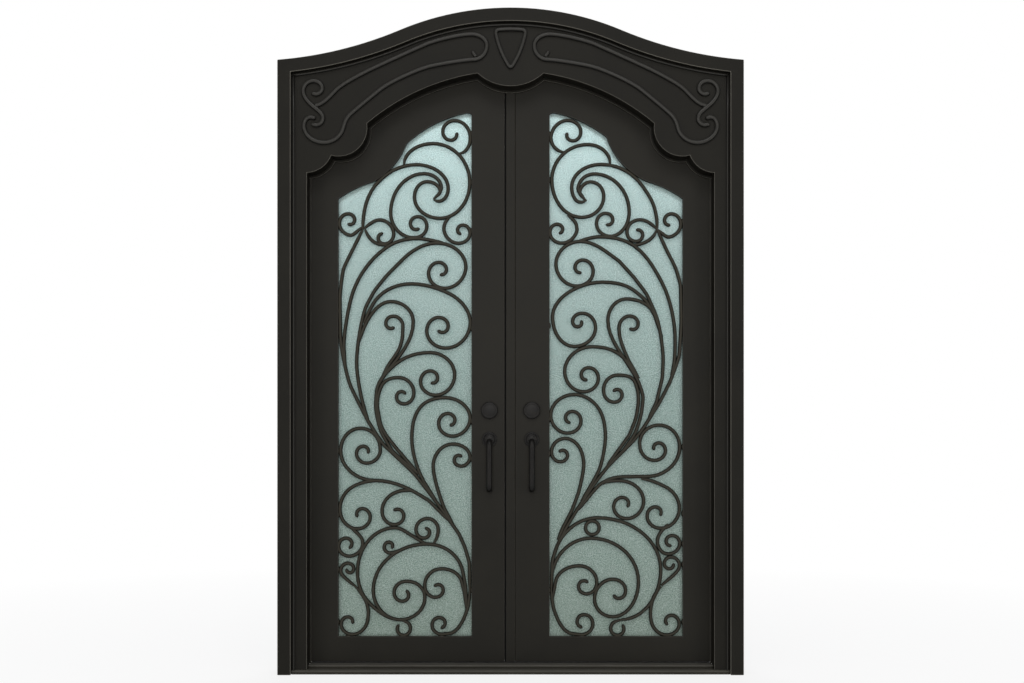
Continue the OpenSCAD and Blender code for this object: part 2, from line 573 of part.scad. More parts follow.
module grille(side, scrolls, places) iron() on_side(side) slab(y_leaf + bar_back, y_leaf + bar_back + bar_d)
    intersection() {
        translate([open_x, open_z]) mirror([1, 0]) offset(delta = (bar_w - spine) / 2) {
            scrollwork(scrolls);
            welds(places);
        }
        offset(delta = -grille_fit) polygon(opening(side));
    }
module astragal() iron() slab(y_leaf - astragal_proud, y_inner) intersection() {
    polygon(concat(top_edge(leaf_inset), [[leaf_x, leaf_z], [-leaf_x, leaf_z]]));
    translate([-right_edge, leaf_z]) square([astragal_w, crown_h]);
}
module meeting_seal() color([0.05, 0.05, 0.05])
    translate([-left_edge + seal_play, y_inner - seal_back, leaf_z])
        cube([meeting_gap - seal_play, seal_t, crown_h - leaf_inset - leaf_z - 1]);

module rose(d) rotate([90, 0, 0]) rotate_extrude()
    polygon([[0, 0], [d / 2, 0], [d / 2, rose_t / 2], [d / 2 - rose_rim, rose_t], [0, rose_t]]);
// Places a fitting on both faces of a leaf: children are drawn on a face at the origin, pointing to -Y.
module both_faces(side, z) {
    translate([side * backset, y_leaf, z]) children();
    translate([side * backset, y_inner, z]) mirror([0, 1, 0]) children();
}
module deadbolt(side) dark_metal() both_faces(side, pull_h + deadbolt_up) rose(deadbolt_d);
module pull_rosettes(side) dark_metal() both_faces(side, pull_h) rose(rosette_d);
grip_arc_n = 6;
grip_route = concat([[rose_t, 0]],
    arc_points([grip_reach - grip_bend, -grip_bend], grip_bend, 90, 0, grip_arc_n),
    arc_points([grip_reach - grip_bend, grip_bend - grip_l], grip_bend, 0, -90, grip_arc_n),
    [[0, -grip_l]]);
grip_n = 10;
function grip_ring(i) =
    let (p = grip_route[i], s = side_of(grip_route, i))
    [for (k = [0:grip_n - 1]) let (a = 360 * (k + 0.5) / grip_n, r = grip_d / 2)
        [r * cos(a), -p.x - s.x * r * sin(a), p.y + s.y * r * sin(a)]];
module grip() {
    rings = len(grip_route);
    polyhedron([for (i = [0:rings - 1]) each grip_ring(i)],
        concat([[for (k = [0:grip_n - 1]) k]],
            [for (i = [0:rings - 2], k = [0:grip_n - 1]) let (j = (k + 1) % grip_n)
                [i * grip_n + k, (i + 1) * grip_n + k, (i + 1) * grip_n + j, i * grip_n + j]],
            [[for (k = [grip_n - 1:-1:0]) (rings - 1) * grip_n + k]]));
}
module pull_grips(side) dark_metal() both_faces(side, pull_h) grip();

module frame_hinges(side) dark_metal() on_side(side) for (z = hinge_z) translate([hinge_x, hinge_y, z]) {
    cylinder(r = barrel_r, h = knuckle_l);
    cylinder(r = pin_r, h = 2 * knuckle_l + knuckle_gap);
    translate([0, y_back - hinge_y, 0]) cube([plate_w + rebate_x - hinge_x, plate_t, knuckle_l]);
}
module leaf_hinges(side) dark_metal() on_side(side)
    for (z = hinge_z) translate([hinge_x, hinge_y, z + knuckle_l + knuckle_gap]) difference() {
        union() {
            cylinder(r = barrel_r, h = knuckle_l);
            translate([-plate_w - hinge_x + leaf_x, y_inner - hinge_y, 0])
                cube([plate_w + hinge_x - leaf_x, plate_t, knuckle_l]);
        }
        translate([0, 0, -1]) cylinder(r = pin_r + pin_play, h = knuckle_l + 2);
    }

jamb(-1);  // left_jamb
jamb(1);  // right_jamb
head_arch();
header_panel();
casing(-1);  // left_casing
casing(1);  // right_casing
head_casing();
bead(-1);  // left_bead
bead(1);  // right_bead
head_bead();
stop(-1);  // left_stop
stop(1);  // right_stop
head_stop();
threshold();
sill_nose();
header_scroll(-1);  // left_header_scroll
header_scroll(1);  // right_header_scroll
keystone_bead();
frame_hinges(-1);  // left_frame_hinges
frame_hinges(1);  // right_frame_hinges
hinge_stile(-1);  // left_hinge_stile
lock_stile(-1, left_edge);  // left_lock_stile
top_rail(-1);  // left_top_rail
bottom_rail(-1);  // left_bottom_rail
glass(-1);  // left_glass
glazing_frame(-1);  // left_glazing_frame
grille(-1, left_scrolls, left_welds);  // left_grille
deadbolt(-1);  // left_deadbolt
pull_rosettes(-1);  // left_pull_rosettes
pull_grips(-1);  // left_pull_grips
leaf_hinges(-1);  // left_leaf_hinges
hinge_stile(1);  // right_hinge_stile
lock_stile(1, right_edge);  // right_lock_stile
top_rail(1);  // right_top_rail
bottom_rail(1);  // right_bottom_rail
glass(1);  // right_glass
glazing_frame(1);  // right_glazing_frame
grille(1, right_scrolls, right_welds);  // right_grille
deadbolt(1);  // right_deadbolt
pull_rosettes(1);  // right_pull_rosettes
pull_grips(1);  // right_pull_grips
leaf_hinges(1);  // right_leaf_hinges
astragal();
meeting_seal();
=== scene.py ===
import math

import bmesh
import bpy
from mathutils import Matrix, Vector


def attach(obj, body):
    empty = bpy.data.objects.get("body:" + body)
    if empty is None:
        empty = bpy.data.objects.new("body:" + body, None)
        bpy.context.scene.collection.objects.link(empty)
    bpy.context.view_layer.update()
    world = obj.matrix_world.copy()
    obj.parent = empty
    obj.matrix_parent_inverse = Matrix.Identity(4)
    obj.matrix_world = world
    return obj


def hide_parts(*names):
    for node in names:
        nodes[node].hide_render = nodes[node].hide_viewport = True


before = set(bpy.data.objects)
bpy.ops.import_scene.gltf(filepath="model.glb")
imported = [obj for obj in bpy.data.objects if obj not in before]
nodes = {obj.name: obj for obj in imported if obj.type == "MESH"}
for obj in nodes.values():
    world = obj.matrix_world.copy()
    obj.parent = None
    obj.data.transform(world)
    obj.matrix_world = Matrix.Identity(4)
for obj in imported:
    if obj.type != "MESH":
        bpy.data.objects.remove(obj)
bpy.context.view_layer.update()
mm = 0.001
print("frame loaded:", len(nodes), "solids")


# Shader helpers
class Socket:  # wraps an output so that shader maths reads as plain maths
    def __init__(self, finish, output):
        self.finish = finish
        self.output = output

    def maths(self, operation, a, b):
        return self.finish.add("ShaderNodeMath", {"operation": operation}, {0: a, 1: b})

    def __add__(self, other):
        return self.maths("ADD", self, other)

    def __radd__(self, other):
        return self.maths("ADD", other, self)

    def __sub__(self, other):
        return self.maths("SUBTRACT", self, other)

    def __rsub__(self, other):
        return self.maths("SUBTRACT", other, self)

    def __mul__(self, other):
        return self.maths("MULTIPLY", self, other)

    def __rmul__(self, other):
        return self.maths("MULTIPLY", other, self)


def grey(value, warmth=0.0):
    return (value * (1 + 0.35 * warmth), value, value * (1 - warmth), 1.0)


class Finish:
    def __init__(self, name):
        self.material = bpy.data.materials.new(name)
        self.material.use_nodes = True
        self.tree = self.material.node_tree
        self.tree.nodes.clear()

    def add(self, kind, settings=None, sockets=None, out=0):
        node = self.tree.nodes.new(kind)
        for key, value in (settings or {}).items():
            if key == "stops":
                ramp = node.color_ramp.elements
                while len(ramp) < len(value):
                    ramp.new(0.5)
                for stop, (place, colour) in zip(ramp, value):
                    stop.position = place
                    stop.color = colour
            else:
                setattr(node, key, value)
        for key, value in (sockets or {}).items():
            if isinstance(value, Socket):
                self.tree.links.new(value.output, node.inputs[key])
            else:
                node.inputs[key].default_value = value
        return Socket(self, node.outputs[out]) if node.outputs else None

    def place(self):  # Object coordinates
        return self.add("ShaderNodeTexCoord", out=3)

    def facing(self):  # 1 where a face looks straight to the street or to the room
        turned = self.part(self.add("ShaderNodeTexCoord", out=1), 1)
        return self.add("ShaderNodeMath", {"operation": "ABSOLUTE"}, {0: turned})

    def noise(self, place, scale, detail=3.0, roughness=0.5):
        return self.add("ShaderNodeTexNoise", {}, {"Vector": place, "Scale": scale, "Detail": detail,
                                                   "Roughness": roughness})

    def clouds(self, place, look):
        return self.noise(place, look["cloudScale"], 4.0, 0.6)

    def streaks(self, place, stretch, scale, detail, roughness=0.5):  # noise drawn out along an axis
        stretched = self.add("ShaderNodeMapping", {}, {"Vector": place, "Scale": stretch})
        return self.noise(stretched, scale, detail, roughness)

    def spread(self, value, low, high):  # 0 below low, 1 above high
        return self.add("ShaderNodeMapRange", {"clamp": True}, {0: value, 1: low, 2: high, 3: 0.0, 4: 1.0})

    def mix(self, share, a, b):
        return self.add("ShaderNodeMix", {"data_type": "RGBA"}, {0: share, 6: a, 7: b}, out=2)

    def twoTone(self, share, look):
        return self.mix(share, grey(look["dark"], look["warmth"]), grey(look["light"], look["warmth"]))

    def bump(self, height, strength, distance=0.0006):
        return self.add("ShaderNodeBump", {}, {"Height": height, "Strength": strength, "Distance": distance})

    def part(self, vector, axis):
        return self.add("ShaderNodeSeparateXYZ", {}, {0: vector}, out=axis)

    def surface(self, shader):
        self.add("ShaderNodeOutputMaterial", {}, {"Surface": shader})
        return self.material

    def principled(self, **sockets):
        named = {key.replace("_", " "): value for key, value in sockets.items()}
        return self.surface(self.add("ShaderNodeBsdfPrincipled", {}, named))


# Finishes
# edge is the tone of a painted highlight along the rounded edges; 0 leaves it out
paintLook = {"dark": 0.0090, "light": 0.0130, "warmth": 0.26, "rough": 0.40, "roughSpread": 0.12,
             "shine": 0.16, "peelScale": 240.0, "peel": 0.10, "cloudScale": 3.5, "cloudBand": (0.3, 0.7),
             "edge": 0.0, "edgeHighlightWarmth": 0.14, "edgeHighlightOpens": (0.2, 0.5), "edgeHighlightCloses": (0.88, 0.985)}


def ironPaint(name, look):
    f = Finish(name)
    place = f.place()
    clouds = f.clouds(place, look)
    peel = f.noise(place, look["peelScale"], 2.0)
    grain = f.noise(place, look["peelScale"] * 5, 1.0)
    tone = f.twoTone(f.spread(clouds, *look["cloudBand"]), look)
    if look["edge"]:  # rounded edges are painted paler than the flat faces: a painted highlight along the edges
        facing = f.facing()
        paintedLight = f.spread(facing, *look["edgeHighlightOpens"]) * (1.0 - f.spread(facing, *look["edgeHighlightCloses"]))
        tone = f.mix(paintedLight * (0.6 + 0.4 * clouds), tone, grey(look["edge"], look["edgeHighlightWarmth"]))
    rough = look["rough"] + look["roughSpread"] * clouds + 0.05 * grain
    normal = f.bump(peel * 0.7 + grain * 0.3, look["peel"])
    return f.principled(Base_Color=tone, Roughness=rough, Normal=normal, Specular_IOR_Level=look["shine"])


# frame and leaf paint carry a painted highlight along their rounded edges
framePaint = ironPaint("framePaint", {**paintLook, "dark": 0.0068, "light": 0.0100, "shine": 0.12,
                                      "edge": 0.140})
leafPaint = ironPaint("leafPaint", {**paintLook, "shine": 0.145, "cloudScale": 2.6, "edge": 0.055})
hingePaint = ironPaint("hingePaint", {**paintLook, "rough": 0.42, "cloudScale": 14.0})

# dark and light are the painted shade on a bar's sides and the painted highlight where it faces the street or
# the room
barLook = {"dark": 0.0048, "light": 0.0380, "warmth": 0.24, "paintedLight": (0.70, 0.97), "rough": 0.44,
           "roughSpread": 0.12, "shine": 0.08, "hammerScale": 95.0, "hammer": 0.25, "cloudScale": 9.0}


def forgedFinish(name, look):  # dark paint, painted paler where a bar faces the street or the room and darker on its sides: a painted highlight on its faces and painted shade on its flanks
    f = Finish(name)
    place = f.place()
    clouds = f.clouds(place, look)
    hammer = f.noise(place, look["hammerScale"], 2.0)
    facing = f.spread(f.facing(), *look["paintedLight"])
    tone = f.twoTone(facing * (0.7 + 0.3 * clouds), look)
    rough = look["rough"] + look["roughSpread"] * clouds - 0.06 * facing
    return f.principled(Base_Color=tone, Roughness=rough, Normal=f.bump(hammer, look["hammer"]),
                        Specular_IOR_Level=look["shine"])


# forgedPaint and reliefPaint both carry this painted highlight and painted shade
forgedPaint = forgedFinish("forgedPaint", barLook)
reliefPaint = forgedFinish("reliefPaint", {**barLook, "dark": 0.0040, "light": 0.0260, "paintedLight": (0.40, 0.96),
                                           "warmth": 0.14, "rough": 0.36, "shine": 0.20, "hammer": 0.12,
                                           "cloudScale": 4.0})

# worn is the paler tone of the up-facing faces, partly scuff wear and partly a painted highlight
sillLook = {**paintLook, "dark": 0.0170, "light": 0.0240, "scuffStretch": (5.0, 60.0, 60.0),
            "scuffScale": 3.0, "scuff": 0.12, "scuffBand": (0.42, 0.72), "topBand": (0.15, 0.6),
            "worn": 0.115, "wornAndLitWarmth": 0.12, "wornAndLitShare": 0.6, "wornRough": 0.2}


def sillPaint(look):  # paint scuffed paler where it faces up: partly scuff wear and partly a painted highlight on the up-facing faces
    f = Finish("sillPaint")
    place = f.place()
    clouds = f.clouds(place, look)
    scuff = f.streaks(place, look["scuffStretch"], look["scuffScale"], 5.0, 0.7)
    faceUp = f.part(f.add("ShaderNodeNewGeometry", out=1), 2)
    # worn marks the up-facing faces for scuffing and for a painted highlight
    worn = f.spread(faceUp, *look["topBand"]) * (0.55 + 0.45 * f.spread(scuff, *look["scuffBand"]))
    tone = f.twoTone(f.spread(clouds, *look["cloudBand"]), look)
    tone = f.mix(worn * look["wornAndLitShare"], tone, grey(look["worn"], look["wornAndLitWarmth"]))
    rough = look["rough"] + look["wornRough"] * worn + look["roughSpread"] * clouds
    return f.principled(Base_Color=tone, Roughness=rough, Normal=f.bump(scuff, look["scuff"]),
                        Specular_IOR_Level=look["shine"])


thresholdPaint = sillPaint(sillLook)

# foot, middle and head tints run from dark at the foot to pale at the head: painted shade low down and a
# painted sky reflection high up
glassLook = {"foot": (0.152, 0.238, 0.178, 1.0), "middle": (0.214, 0.352, 0.318, 1.0),
             "head": (0.520, 0.73, 0.735, 1.0), "footZ": 0.14, "middleShare": 0.45, "headZ": 2.3,
             "grainScale": 250.0, "grainBand": (0.40, 0.62), "grain": 1.0, "rippleScale": 70.0,
             "mottleScale": 60.0, "mottleBand": (0.35, 0.65), "mottle": 0.35, "pale": (0.9, 1.0, 0.98, 1.0),
             "deep": (0.02, 0.05, 0.045, 1.0), "rough": 0.38, "roughSpread": 0.2, "relief": 0.35,
             "through": 0.40, "shine": 0.4}


def obscuredGlass(look):
    f = Finish("obscuredGlass")
    place = f.place()
    # the tint is painted darker towards the foot and paler towards the head: painted shade and a painted
    # reflection
    rise = f.spread(f.part(place, 2), look["footZ"], look["headZ"])
    stops = [(0.0, look["foot"]), (look["middleShare"], look["middle"]), (1.0, look["head"])]
    tint = f.add("ShaderNodeValToRGB", {"stops": stops}, {0: rise})
    grain = f.noise(place, look["grainScale"], 2.0, 0.6)
    ripple = f.noise(place, look["rippleScale"], 3.0, 0.6)
    mottle = f.noise(place, look["mottleScale"], 3.0, 0.6)
    fleck = f.spread(grain, *look["grainBand"]) * look["grain"]
    pale = f.mix(0.5, tint, look["pale"])
    deep = f.mix(0.45, tint, look["deep"])
    colour = f.mix(f.spread(mottle, *look["mottleBand"]) * look["mottle"], f.mix(fleck, deep, pale), tint)
    normal = f.bump(grain * 0.6 + ripple * 0.4, look["relief"], 0.0008)
    rough = look["rough"] + look["roughSpread"] * mottle
    return f.principled(Base_Color=colour, Roughness=rough, Normal=normal, IOR=1.5,
                        Transmission_Weight=look["through"], Specular_IOR_Level=look["shine"])


paneGlass = obscuredGlass(glassLook)

bronzeLook = {"dark": (0.0065, 0.0062, 0.0058, 1.0), "worn": (0.017, 0.015, 0.0125, 1.0),
              "patinaScale": 38.0, "patinaBand": (0.45, 0.75), "patina": 0.6,
              "brushStretch": (1.0, 1.0, 0.12), "brushScale": 520.0, "brush": 0.06,
              "metal": 0.25, "rough": 0.30, "shine": 0.22}


def bronzeFinish(name, look):
    f = Finish(name)
    place = f.place()
    patina = f.noise(place, look["patinaScale"], 5.0, 0.65)
    brush = f.streaks(place, look["brushStretch"], look["brushScale"], 2.0)
    tone = f.mix(f.spread(patina, *look["patinaBand"]) * look["patina"], look["dark"], look["worn"])
    rough = look["rough"] + 0.16 * patina + 0.05 * brush
    return f.principled(Base_Color=tone, Metallic=look["metal"], Roughness=rough,
                        Normal=f.bump(brush, look["brush"], 0.0003), Specular_IOR_Level=look["shine"])


fittingMetal = bronzeFinish("fittingMetal", bronzeLook)

pileLook = {"dark": 0.006, "light": 0.016, "warmth": 0.0, "fibreStretch": (1.0, 1.0, 14.0),
            "fibreScale": 220.0, "fibre": 0.6, "rough": 0.92}


def pileFinish(look):
    f = Finish("pileSeal")
    fibre = f.streaks(f.place(), look["fibreStretch"], look["fibreScale"], 2.0)
    return f.principled(Base_Color=f.twoTone(fibre, look), Roughness=look["rough"],
                        Normal=f.bump(fibre, look["fibre"], 0.001))


pileSeal = pileFinish(pileLook)
print("finishes made")


# Mesh helpers
def newObject(name, mesh):
    made = bpy.data.objects.new(name, mesh)
    bpy.context.scene.collection.objects.link(made)
    return made


def smooth(mesh):
    for face in mesh.polygons:
        face.use_smooth = True


def evaluated(source, name):  # plain mesh of an object with its modifiers applied
    graph = bpy.context.evaluated_depsgraph_get()
    graph.update()
    mesh = bpy.data.meshes.new_from_object(source.evaluated_get(graph))
    mesh.name = name
    old = source.data
    source.modifiers.clear()
    source.data = mesh
    if old.users == 0:
        bpy.data.meshes.remove(old)
    return source


mergeLook = {"solid": 2e-6, "piece": 1e-5}


def cadCopy(node):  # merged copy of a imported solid
    mesh = bpy.data.meshes.new(node + "Copy")
    bm = bmesh.new()
    bm.from_mesh(nodes[node].data)
    bmesh.ops.remove_doubles(bm, verts=bm.verts, dist=mergeLook["solid"])
    bm.to_mesh(mesh)
    bm.free()
    return newObject(node + "Copy", mesh)


mitreLap = {"above": 2.3, "inside": 0.93, "lap": 0.0005}


def lapped(piece):  # lets a jamb's mitre run a little into the head, so that the two join cleanly
    for vert in piece.data.vertices:
        if vert.co.z > mitreLap["above"] and abs(vert.co.x) < mitreLap["inside"]:
            vert.co.z += mitreLap["lap"]
    return piece


def fused(name, members, laps=()):  # one seamless piece from solids that are welded together
    copies = [lapped(cadCopy(member)) if member in laps else cadCopy(member) for member in members]
    whole, others = copies[0], copies[1:]
    for other in others:
        weld = whole.modifiers.new("weld", "BOOLEAN")
        weld.operation = "UNION"
        weld.solver = "EXACT"
        weld.object = other
    if others:
        evaluated(whole, name)
    for other in others:
        bpy.data.objects.remove(other)
    whole.name = name
    return whole


softLook = {"flat": 1.0, "sharp": 32.0}  # degrees between faces


def softened(piece, width, segments=3):  # rounds the sharp edges and keeps the faces flat
    bm = bmesh.new()
    bm.from_mesh(piece.data)
    bmesh.ops.remove_doubles(bm, verts=bm.verts, dist=mergeLook["piece"])
    bmesh.ops.dissolve_limit(bm, angle_limit=math.radians(softLook["flat"]), verts=bm.verts, edges=bm.edges)
    bm.to_mesh(piece.data)
    bm.free()
    smooth(piece.data)
    edge = piece.modifiers.new("edge", "BEVEL")
    edge.width = width
    edge.segments = segments
    edge.limit_method = "ANGLE"
    edge.angle_limit = math.radians(softLook["sharp"])
    edge.use_clamp_overlap = False
    shade = piece.modifiers.new("shade", "WEIGHTED_NORMAL")
    shade.mode = "FACE_AREA"
    shade.weight = 100
    return evaluated(piece, piece.name)


def handOver(piece, body, material, replaced):
    if material:
        piece.data.materials.clear()
        piece.data.materials.append(material)
    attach(piece, body)
    if replaced:
        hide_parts(*replaced)


# Paths, in millimetres on a plane of [across, up]
def way(degrees):
    return Vector((math.cos(math.radians(degrees)), math.sin(math.radians(degrees))))


def turnOf(a, b):  # from one heading to another, the short way
    return math.fmod(b - a + 900, 360) - 180


def handleShare(turn):  # length of a curve's handle for a turn, as a share of its reach
    if turn < 1:
        return 1 / 3
    return 4 / 3 * math.tan(math.radians(turn / 4)) / max(0.5, math.sin(math.radians(turn)))


def span(knot, following, step):  # points of the curve between two knots, the first left out
    p, q = Vector(knot[:2]), Vector(following[:2])
    d, turn = q - p, abs(turnOf(knot[2], following[2]))

    def reach(heading):
        return max(abs(d.dot(way(heading))), d.length / 3) * handleShare(turn)
    a = p + way(knot[2]) * reach(knot[2])
    b = q - way(following[2]) * reach(following[2])
    count = max(4, math.ceil(turn / step), math.ceil(d.length / 30))
    points = []
    for i in range(1, count + 1):
        t = i / count
        u = 1 - t
        points.append(u ** 3 * p + 3 * u * u * t * a + 3 * u * t * t * b + t ** 3 * q)
    return points


def voluteAt(v, t):
    return Vector(v[:2]) + v[2] * (v[3] / v[2]) ** t * way(v[4] + v[5] * t)


def voluteKnot(v):
    lean = math.degrees(math.atan(math.log(v[2] / v[3]) / math.radians(abs(v[5]))))
    mouth = voluteAt(v, 0)
    return [mouth.x, mouth.y, v[4] + math.copysign(90 + lean, v[5])]


def route(knots, volute, step):  # points of a bar through its knots and into its volute
    knots = list(knots) + ([voluteKnot(volute)] if volute else [])
    points = [Vector(knots[0][:2])]
    for knot, following in zip(knots, knots[1:]):
        points += span(knot, following, step)
    if volute:
        count = math.ceil(abs(volute[5]) / step)
        points += [voluteAt(volute, i / count) for i in range(1, count + 1)]
    return points


def tipSwell(points, ends, taper):  # radius shares that round off a bar's free ends
    lengths = [0.0]
    for p, q in zip(points, points[1:]):
        lengths.append(lengths[-1] + (q - p).length)
    swell = []
    for at in lengths:
        share = 1.0
        if "start" in ends:
            share = min(share, math.sqrt(max(0.0, 1 - (1 - min(at / taper, 1)) ** 2)))
        if "end" in ends:
            share = min(share, math.sqrt(max(0.0, 1 - (1 - min((lengths[-1] - at) / taper, 1)) ** 2)))
        swell.append(max(share, 0.25))
    return swell


def drawnIn(points, ends, thin, reach):  # radius shares that narrow a bar where it runs into another
    swell = []
    for p in points:
        share = 1.0
        if "start" in ends:
            share = min(share, thin + (1 - thin) * (p - points[0]).length / reach)
        if "end" in ends:
            share = min(share, thin + (1 - thin) * (p - points[-1]).length / reach)
        swell.append(share)
    return swell


def withTip(points, taper, count=4):  # more points near the last one, for the rounded tip
    last, before = points[-1], points[-2]
    along = (last - before).normalized()
    reach = min(taper, (last - before).length * 0.95)
    return points[:-1] + [last - along * reach * (1 - i / count) for i in range(count + 1)]


# Geometry Nodes
def newTree(name, sockets, result):
    tree = bpy.data.node_groups.new(name, "GeometryNodeTree")
    for label, kind in sockets:
        tree.interface.new_socket(label, in_out="INPUT", socket_type="NodeSocket" + kind)
    tree.interface.new_socket(result, in_out="OUTPUT", socket_type="NodeSocketGeometry")
    return tree, tree.nodes.new("NodeGroupInput").outputs


def endTree(tree, inputs, made):  # realizes what the tree made and gives it its finish
    put, link = tree.nodes.new, tree.links.new
    real = put("GeometryNodeRealizeInstances")
    link(made, real.inputs["Geometry"])
    finish = put("GeometryNodeSetMaterial")
    link(real.outputs["Geometry"], finish.inputs["Geometry"])
    link(inputs["Finish"], finish.inputs["Material"])
    link(finish.outputs["Geometry"], put("NodeGroupOutput").inputs[0])
    return tree


def barTree(name, cornerPoints=4):  # a bar along each line of a mesh, with its thickness from "swell"
    tree, inputs = newTree(name, (("Lines", "Geometry"), ("Width", "Float"), ("Depth", "Float"),
                                  ("Fillet", "Float"), ("Facing", "Vector"), ("Finish", "Material")), "Bars")
    put, link = tree.nodes.new, tree.links.new
    lines = put("GeometryNodeMeshToCurve")
    link(inputs["Lines"], lines.inputs["Mesh"])
    swell = put("GeometryNodeInputNamedAttribute")
    swell.data_type = "FLOAT"
    swell.inputs["Name"].default_value = "swell"
    normal = put("GeometryNodeSetCurveNormal")
    normal.mode = "FREE"
    link(lines.outputs["Curve"], normal.inputs["Curve"])
    link(inputs["Facing"], normal.inputs["Normal"])
    section = put("GeometryNodeCurvePrimitiveQuadrilateral")
    link(inputs["Depth"], section.inputs["Width"])
    link(inputs["Width"], section.inputs["Height"])
    rounded = put("GeometryNodeFilletCurve")
    rounded.mode = "POLY"
    rounded.inputs["Count"].default_value = cornerPoints
    link(section.outputs["Curve"], rounded.inputs["Curve"])
    link(inputs["Fillet"], rounded.inputs["Radius"])
    sweep = put("GeometryNodeCurveToMesh")
    sweep.inputs["Fill Caps"].default_value = True
    link(normal.outputs["Curve"], sweep.inputs["Curve"])
    link(rounded.outputs["Curve"], sweep.inputs["Profile Curve"])
    link(swell.outputs["Attribute"], sweep.inputs["Scale"])
    return endTree(tree, inputs, sweep.outputs["Mesh"])


def domeTree(name, segments=20, rings=12):  # a dome on each point, for screw heads and weld beads
    tree, inputs = newTree(name, (("Places", "Geometry"), ("Radius", "Float"), ("Stretch", "Vector"),
                                  ("Finish", "Material")), "Domes")
    put, link = tree.nodes.new, tree.links.new
    points = put("GeometryNodeMeshToPoints")
    link(inputs["Places"], points.inputs["Mesh"])
    ball = put("GeometryNodeMeshUVSphere")
    ball.inputs["Segments"].default_value = segments
    ball.inputs["Rings"].default_value = rings
    link(inputs["Radius"], ball.inputs["Radius"])
    spread = put("GeometryNodeInstanceOnPoints")
    link(points.outputs["Points"], spread.inputs["Points"])
    link(ball.outputs["Mesh"], spread.inputs["Instance"])
    link(inputs["Stretch"], spread.inputs["Scale"])
    return endTree(tree, inputs, spread.outputs["Instances"])


barSweep = barTree("barSweep")
domeSpread = domeTree("domeSpread")


def grown(name, mesh, tree, values):  # plain mesh that a tree makes from a bare one
    made = newObject(name, mesh)
    grow = made.modifiers.new("grow", "NODES")
    grow.node_group = tree
    for item in tree.interface.items_tree:
        if item.in_out == "INPUT" and item.name in values:
            grow[item.identifier] = values[item.name]
    evaluated(made, name)
    smooth(made.data)
    return made


def sweptBars(name, lines, sizes, material, crease=50):  # lines: (points in metres, swell, closed)
    mesh = bpy.data.meshes.new(name)
    verts, edges, swell = [], [], []
    for points, shares, closed in lines:
        first = len(verts)
        verts += [tuple(p) for p in points]
        swell += shares
        edges += [(first + i, first + i + 1) for i in range(len(points) - 1)]
        if closed:
            edges.append((len(verts) - 1, first))
    mesh.from_pydata(verts, edges, [])
    mesh.attributes.new("swell", "FLOAT", "POINT").data.foreach_set("value", swell)
    bars = grown(name, mesh, barSweep, {**sizes, "Finish": material})
    bm = bmesh.new()
    bm.from_mesh(bars.data)
    bmesh.ops.recalc_face_normals(bm, faces=bm.faces)
    bm.to_mesh(bars.data)
    bm.free()
    bars.data.set_sharp_from_angle(angle=math.radians(crease))
    return bars


def evenBar(name, points, sizes, material, closed=False):  # one bar of even thickness
    return sweptBars(name, [(points, [1.0] * len(points), closed)], sizes, material)


def domes(name, places, radius, stretch, material):  # places in millimetres
    mesh = bpy.data.meshes.new(name)
    mesh.from_pydata([tuple(Vector(p) * mm) for p in places], [], [])
    return grown(name, mesh, domeSpread, {"Radius": radius * mm, "Stretch": stretch, "Finish": material})


# Frame: face, casing, stops, sill
frameEdges = {"face": 0.0022, "casing": 0.0035, "stop": 0.0012, "sill": 0.0015}

frameFace = fused("frameFace", ["head_arch", "header_panel", "left_jamb", "right_jamb"],
                  laps=("left_jamb", "right_jamb"))
softened(frameFace, frameEdges["face"])
handOver(frameFace, "frame", framePaint,
         ["left_jamb", "right_jamb", "head_arch", "header_panel"])
frameCasing = fused("frameCasing", ["left_casing", "right_casing", "head_casing"])
softened(frameCasing, frameEdges["casing"])
handOver(frameCasing, "frame", framePaint, ["left_casing", "right_casing", "head_casing"])
frameStop = softened(fused("frameStop", ["left_stop", "right_stop", "head_stop"]), frameEdges["stop"], 2)
handOver(frameStop, "frame", framePaint, ["left_stop", "right_stop", "head_stop"])
for node in ("threshold", "sill_nose"):
    piece = softened(fused(node + "Edge", [node]), frameEdges["sill"], 2)
    handOver(piece, "frame", thresholdPaint, [node])
print("frame softened")

# The swan-neck head's edge
headShape = {"halfWidth": 940.0, "crown": 2690.0, "shoulder": 2480.0, "crownRadius": 1150.0, "slope": 4.5}
crownZ = headShape["crown"] - headShape["crownRadius"]
neckH = headShape["shoulder"] - crownZ
slopeWay = way(headShape["slope"])
neckR = (headShape["halfWidth"] ** 2 + neckH ** 2 - headShape["crownRadius"] ** 2) / (
    2 * (headShape["crownRadius"] - headShape["halfWidth"] * slopeWay.y - neckH * slopeWay.x))
neckC = Vector((headShape["halfWidth"] + neckR * slopeWay.y, headShape["shoulder"] + neckR * slopeWay.x))
neckTurn = math.degrees(math.atan2(neckC.x, neckC.y - crownZ))


def halfEdge(inset, count=28):  # right half of the head's edge, from crown to shoulder
    crown = [Vector((0, crownZ)) + (headShape["crownRadius"] - inset) * way(90 - neckTurn * i / count)
             for i in range(count + 1)]
    last = math.degrees(math.asin((neckC.x - headShape["halfWidth"] + inset) / (neckR + inset)))
    neck = []
    for i in range(1, count + 1):
        a = math.radians(neckTurn + (last - neckTurn) * i / count)
        neck.append(neckC - (neckR + inset) * Vector((math.sin(a), math.cos(a))))
    return crown + neck


def headEdge(inset):
    half = halfEdge(inset)
    return [Vector((-p.x, p.y)) for p in reversed(half)] + half[1:]


def onFace(points, y):
    return [Vector((p.x, y, p.y)) * mm for p in points]


# Bead beside the casing, mitred at the shoulders
faceY = -52.0
beadLook = {"inset": 62.5, "foot": 16.0, "overrun": 12.0, "steps": 12, "mitreReach": 10.0,
            "sizes": {"Width": 9.0 * mm, "Depth": 18.0 * mm, "Fillet": 4.3 * mm, "Facing": (0.0, -1.0, 0.0)}}


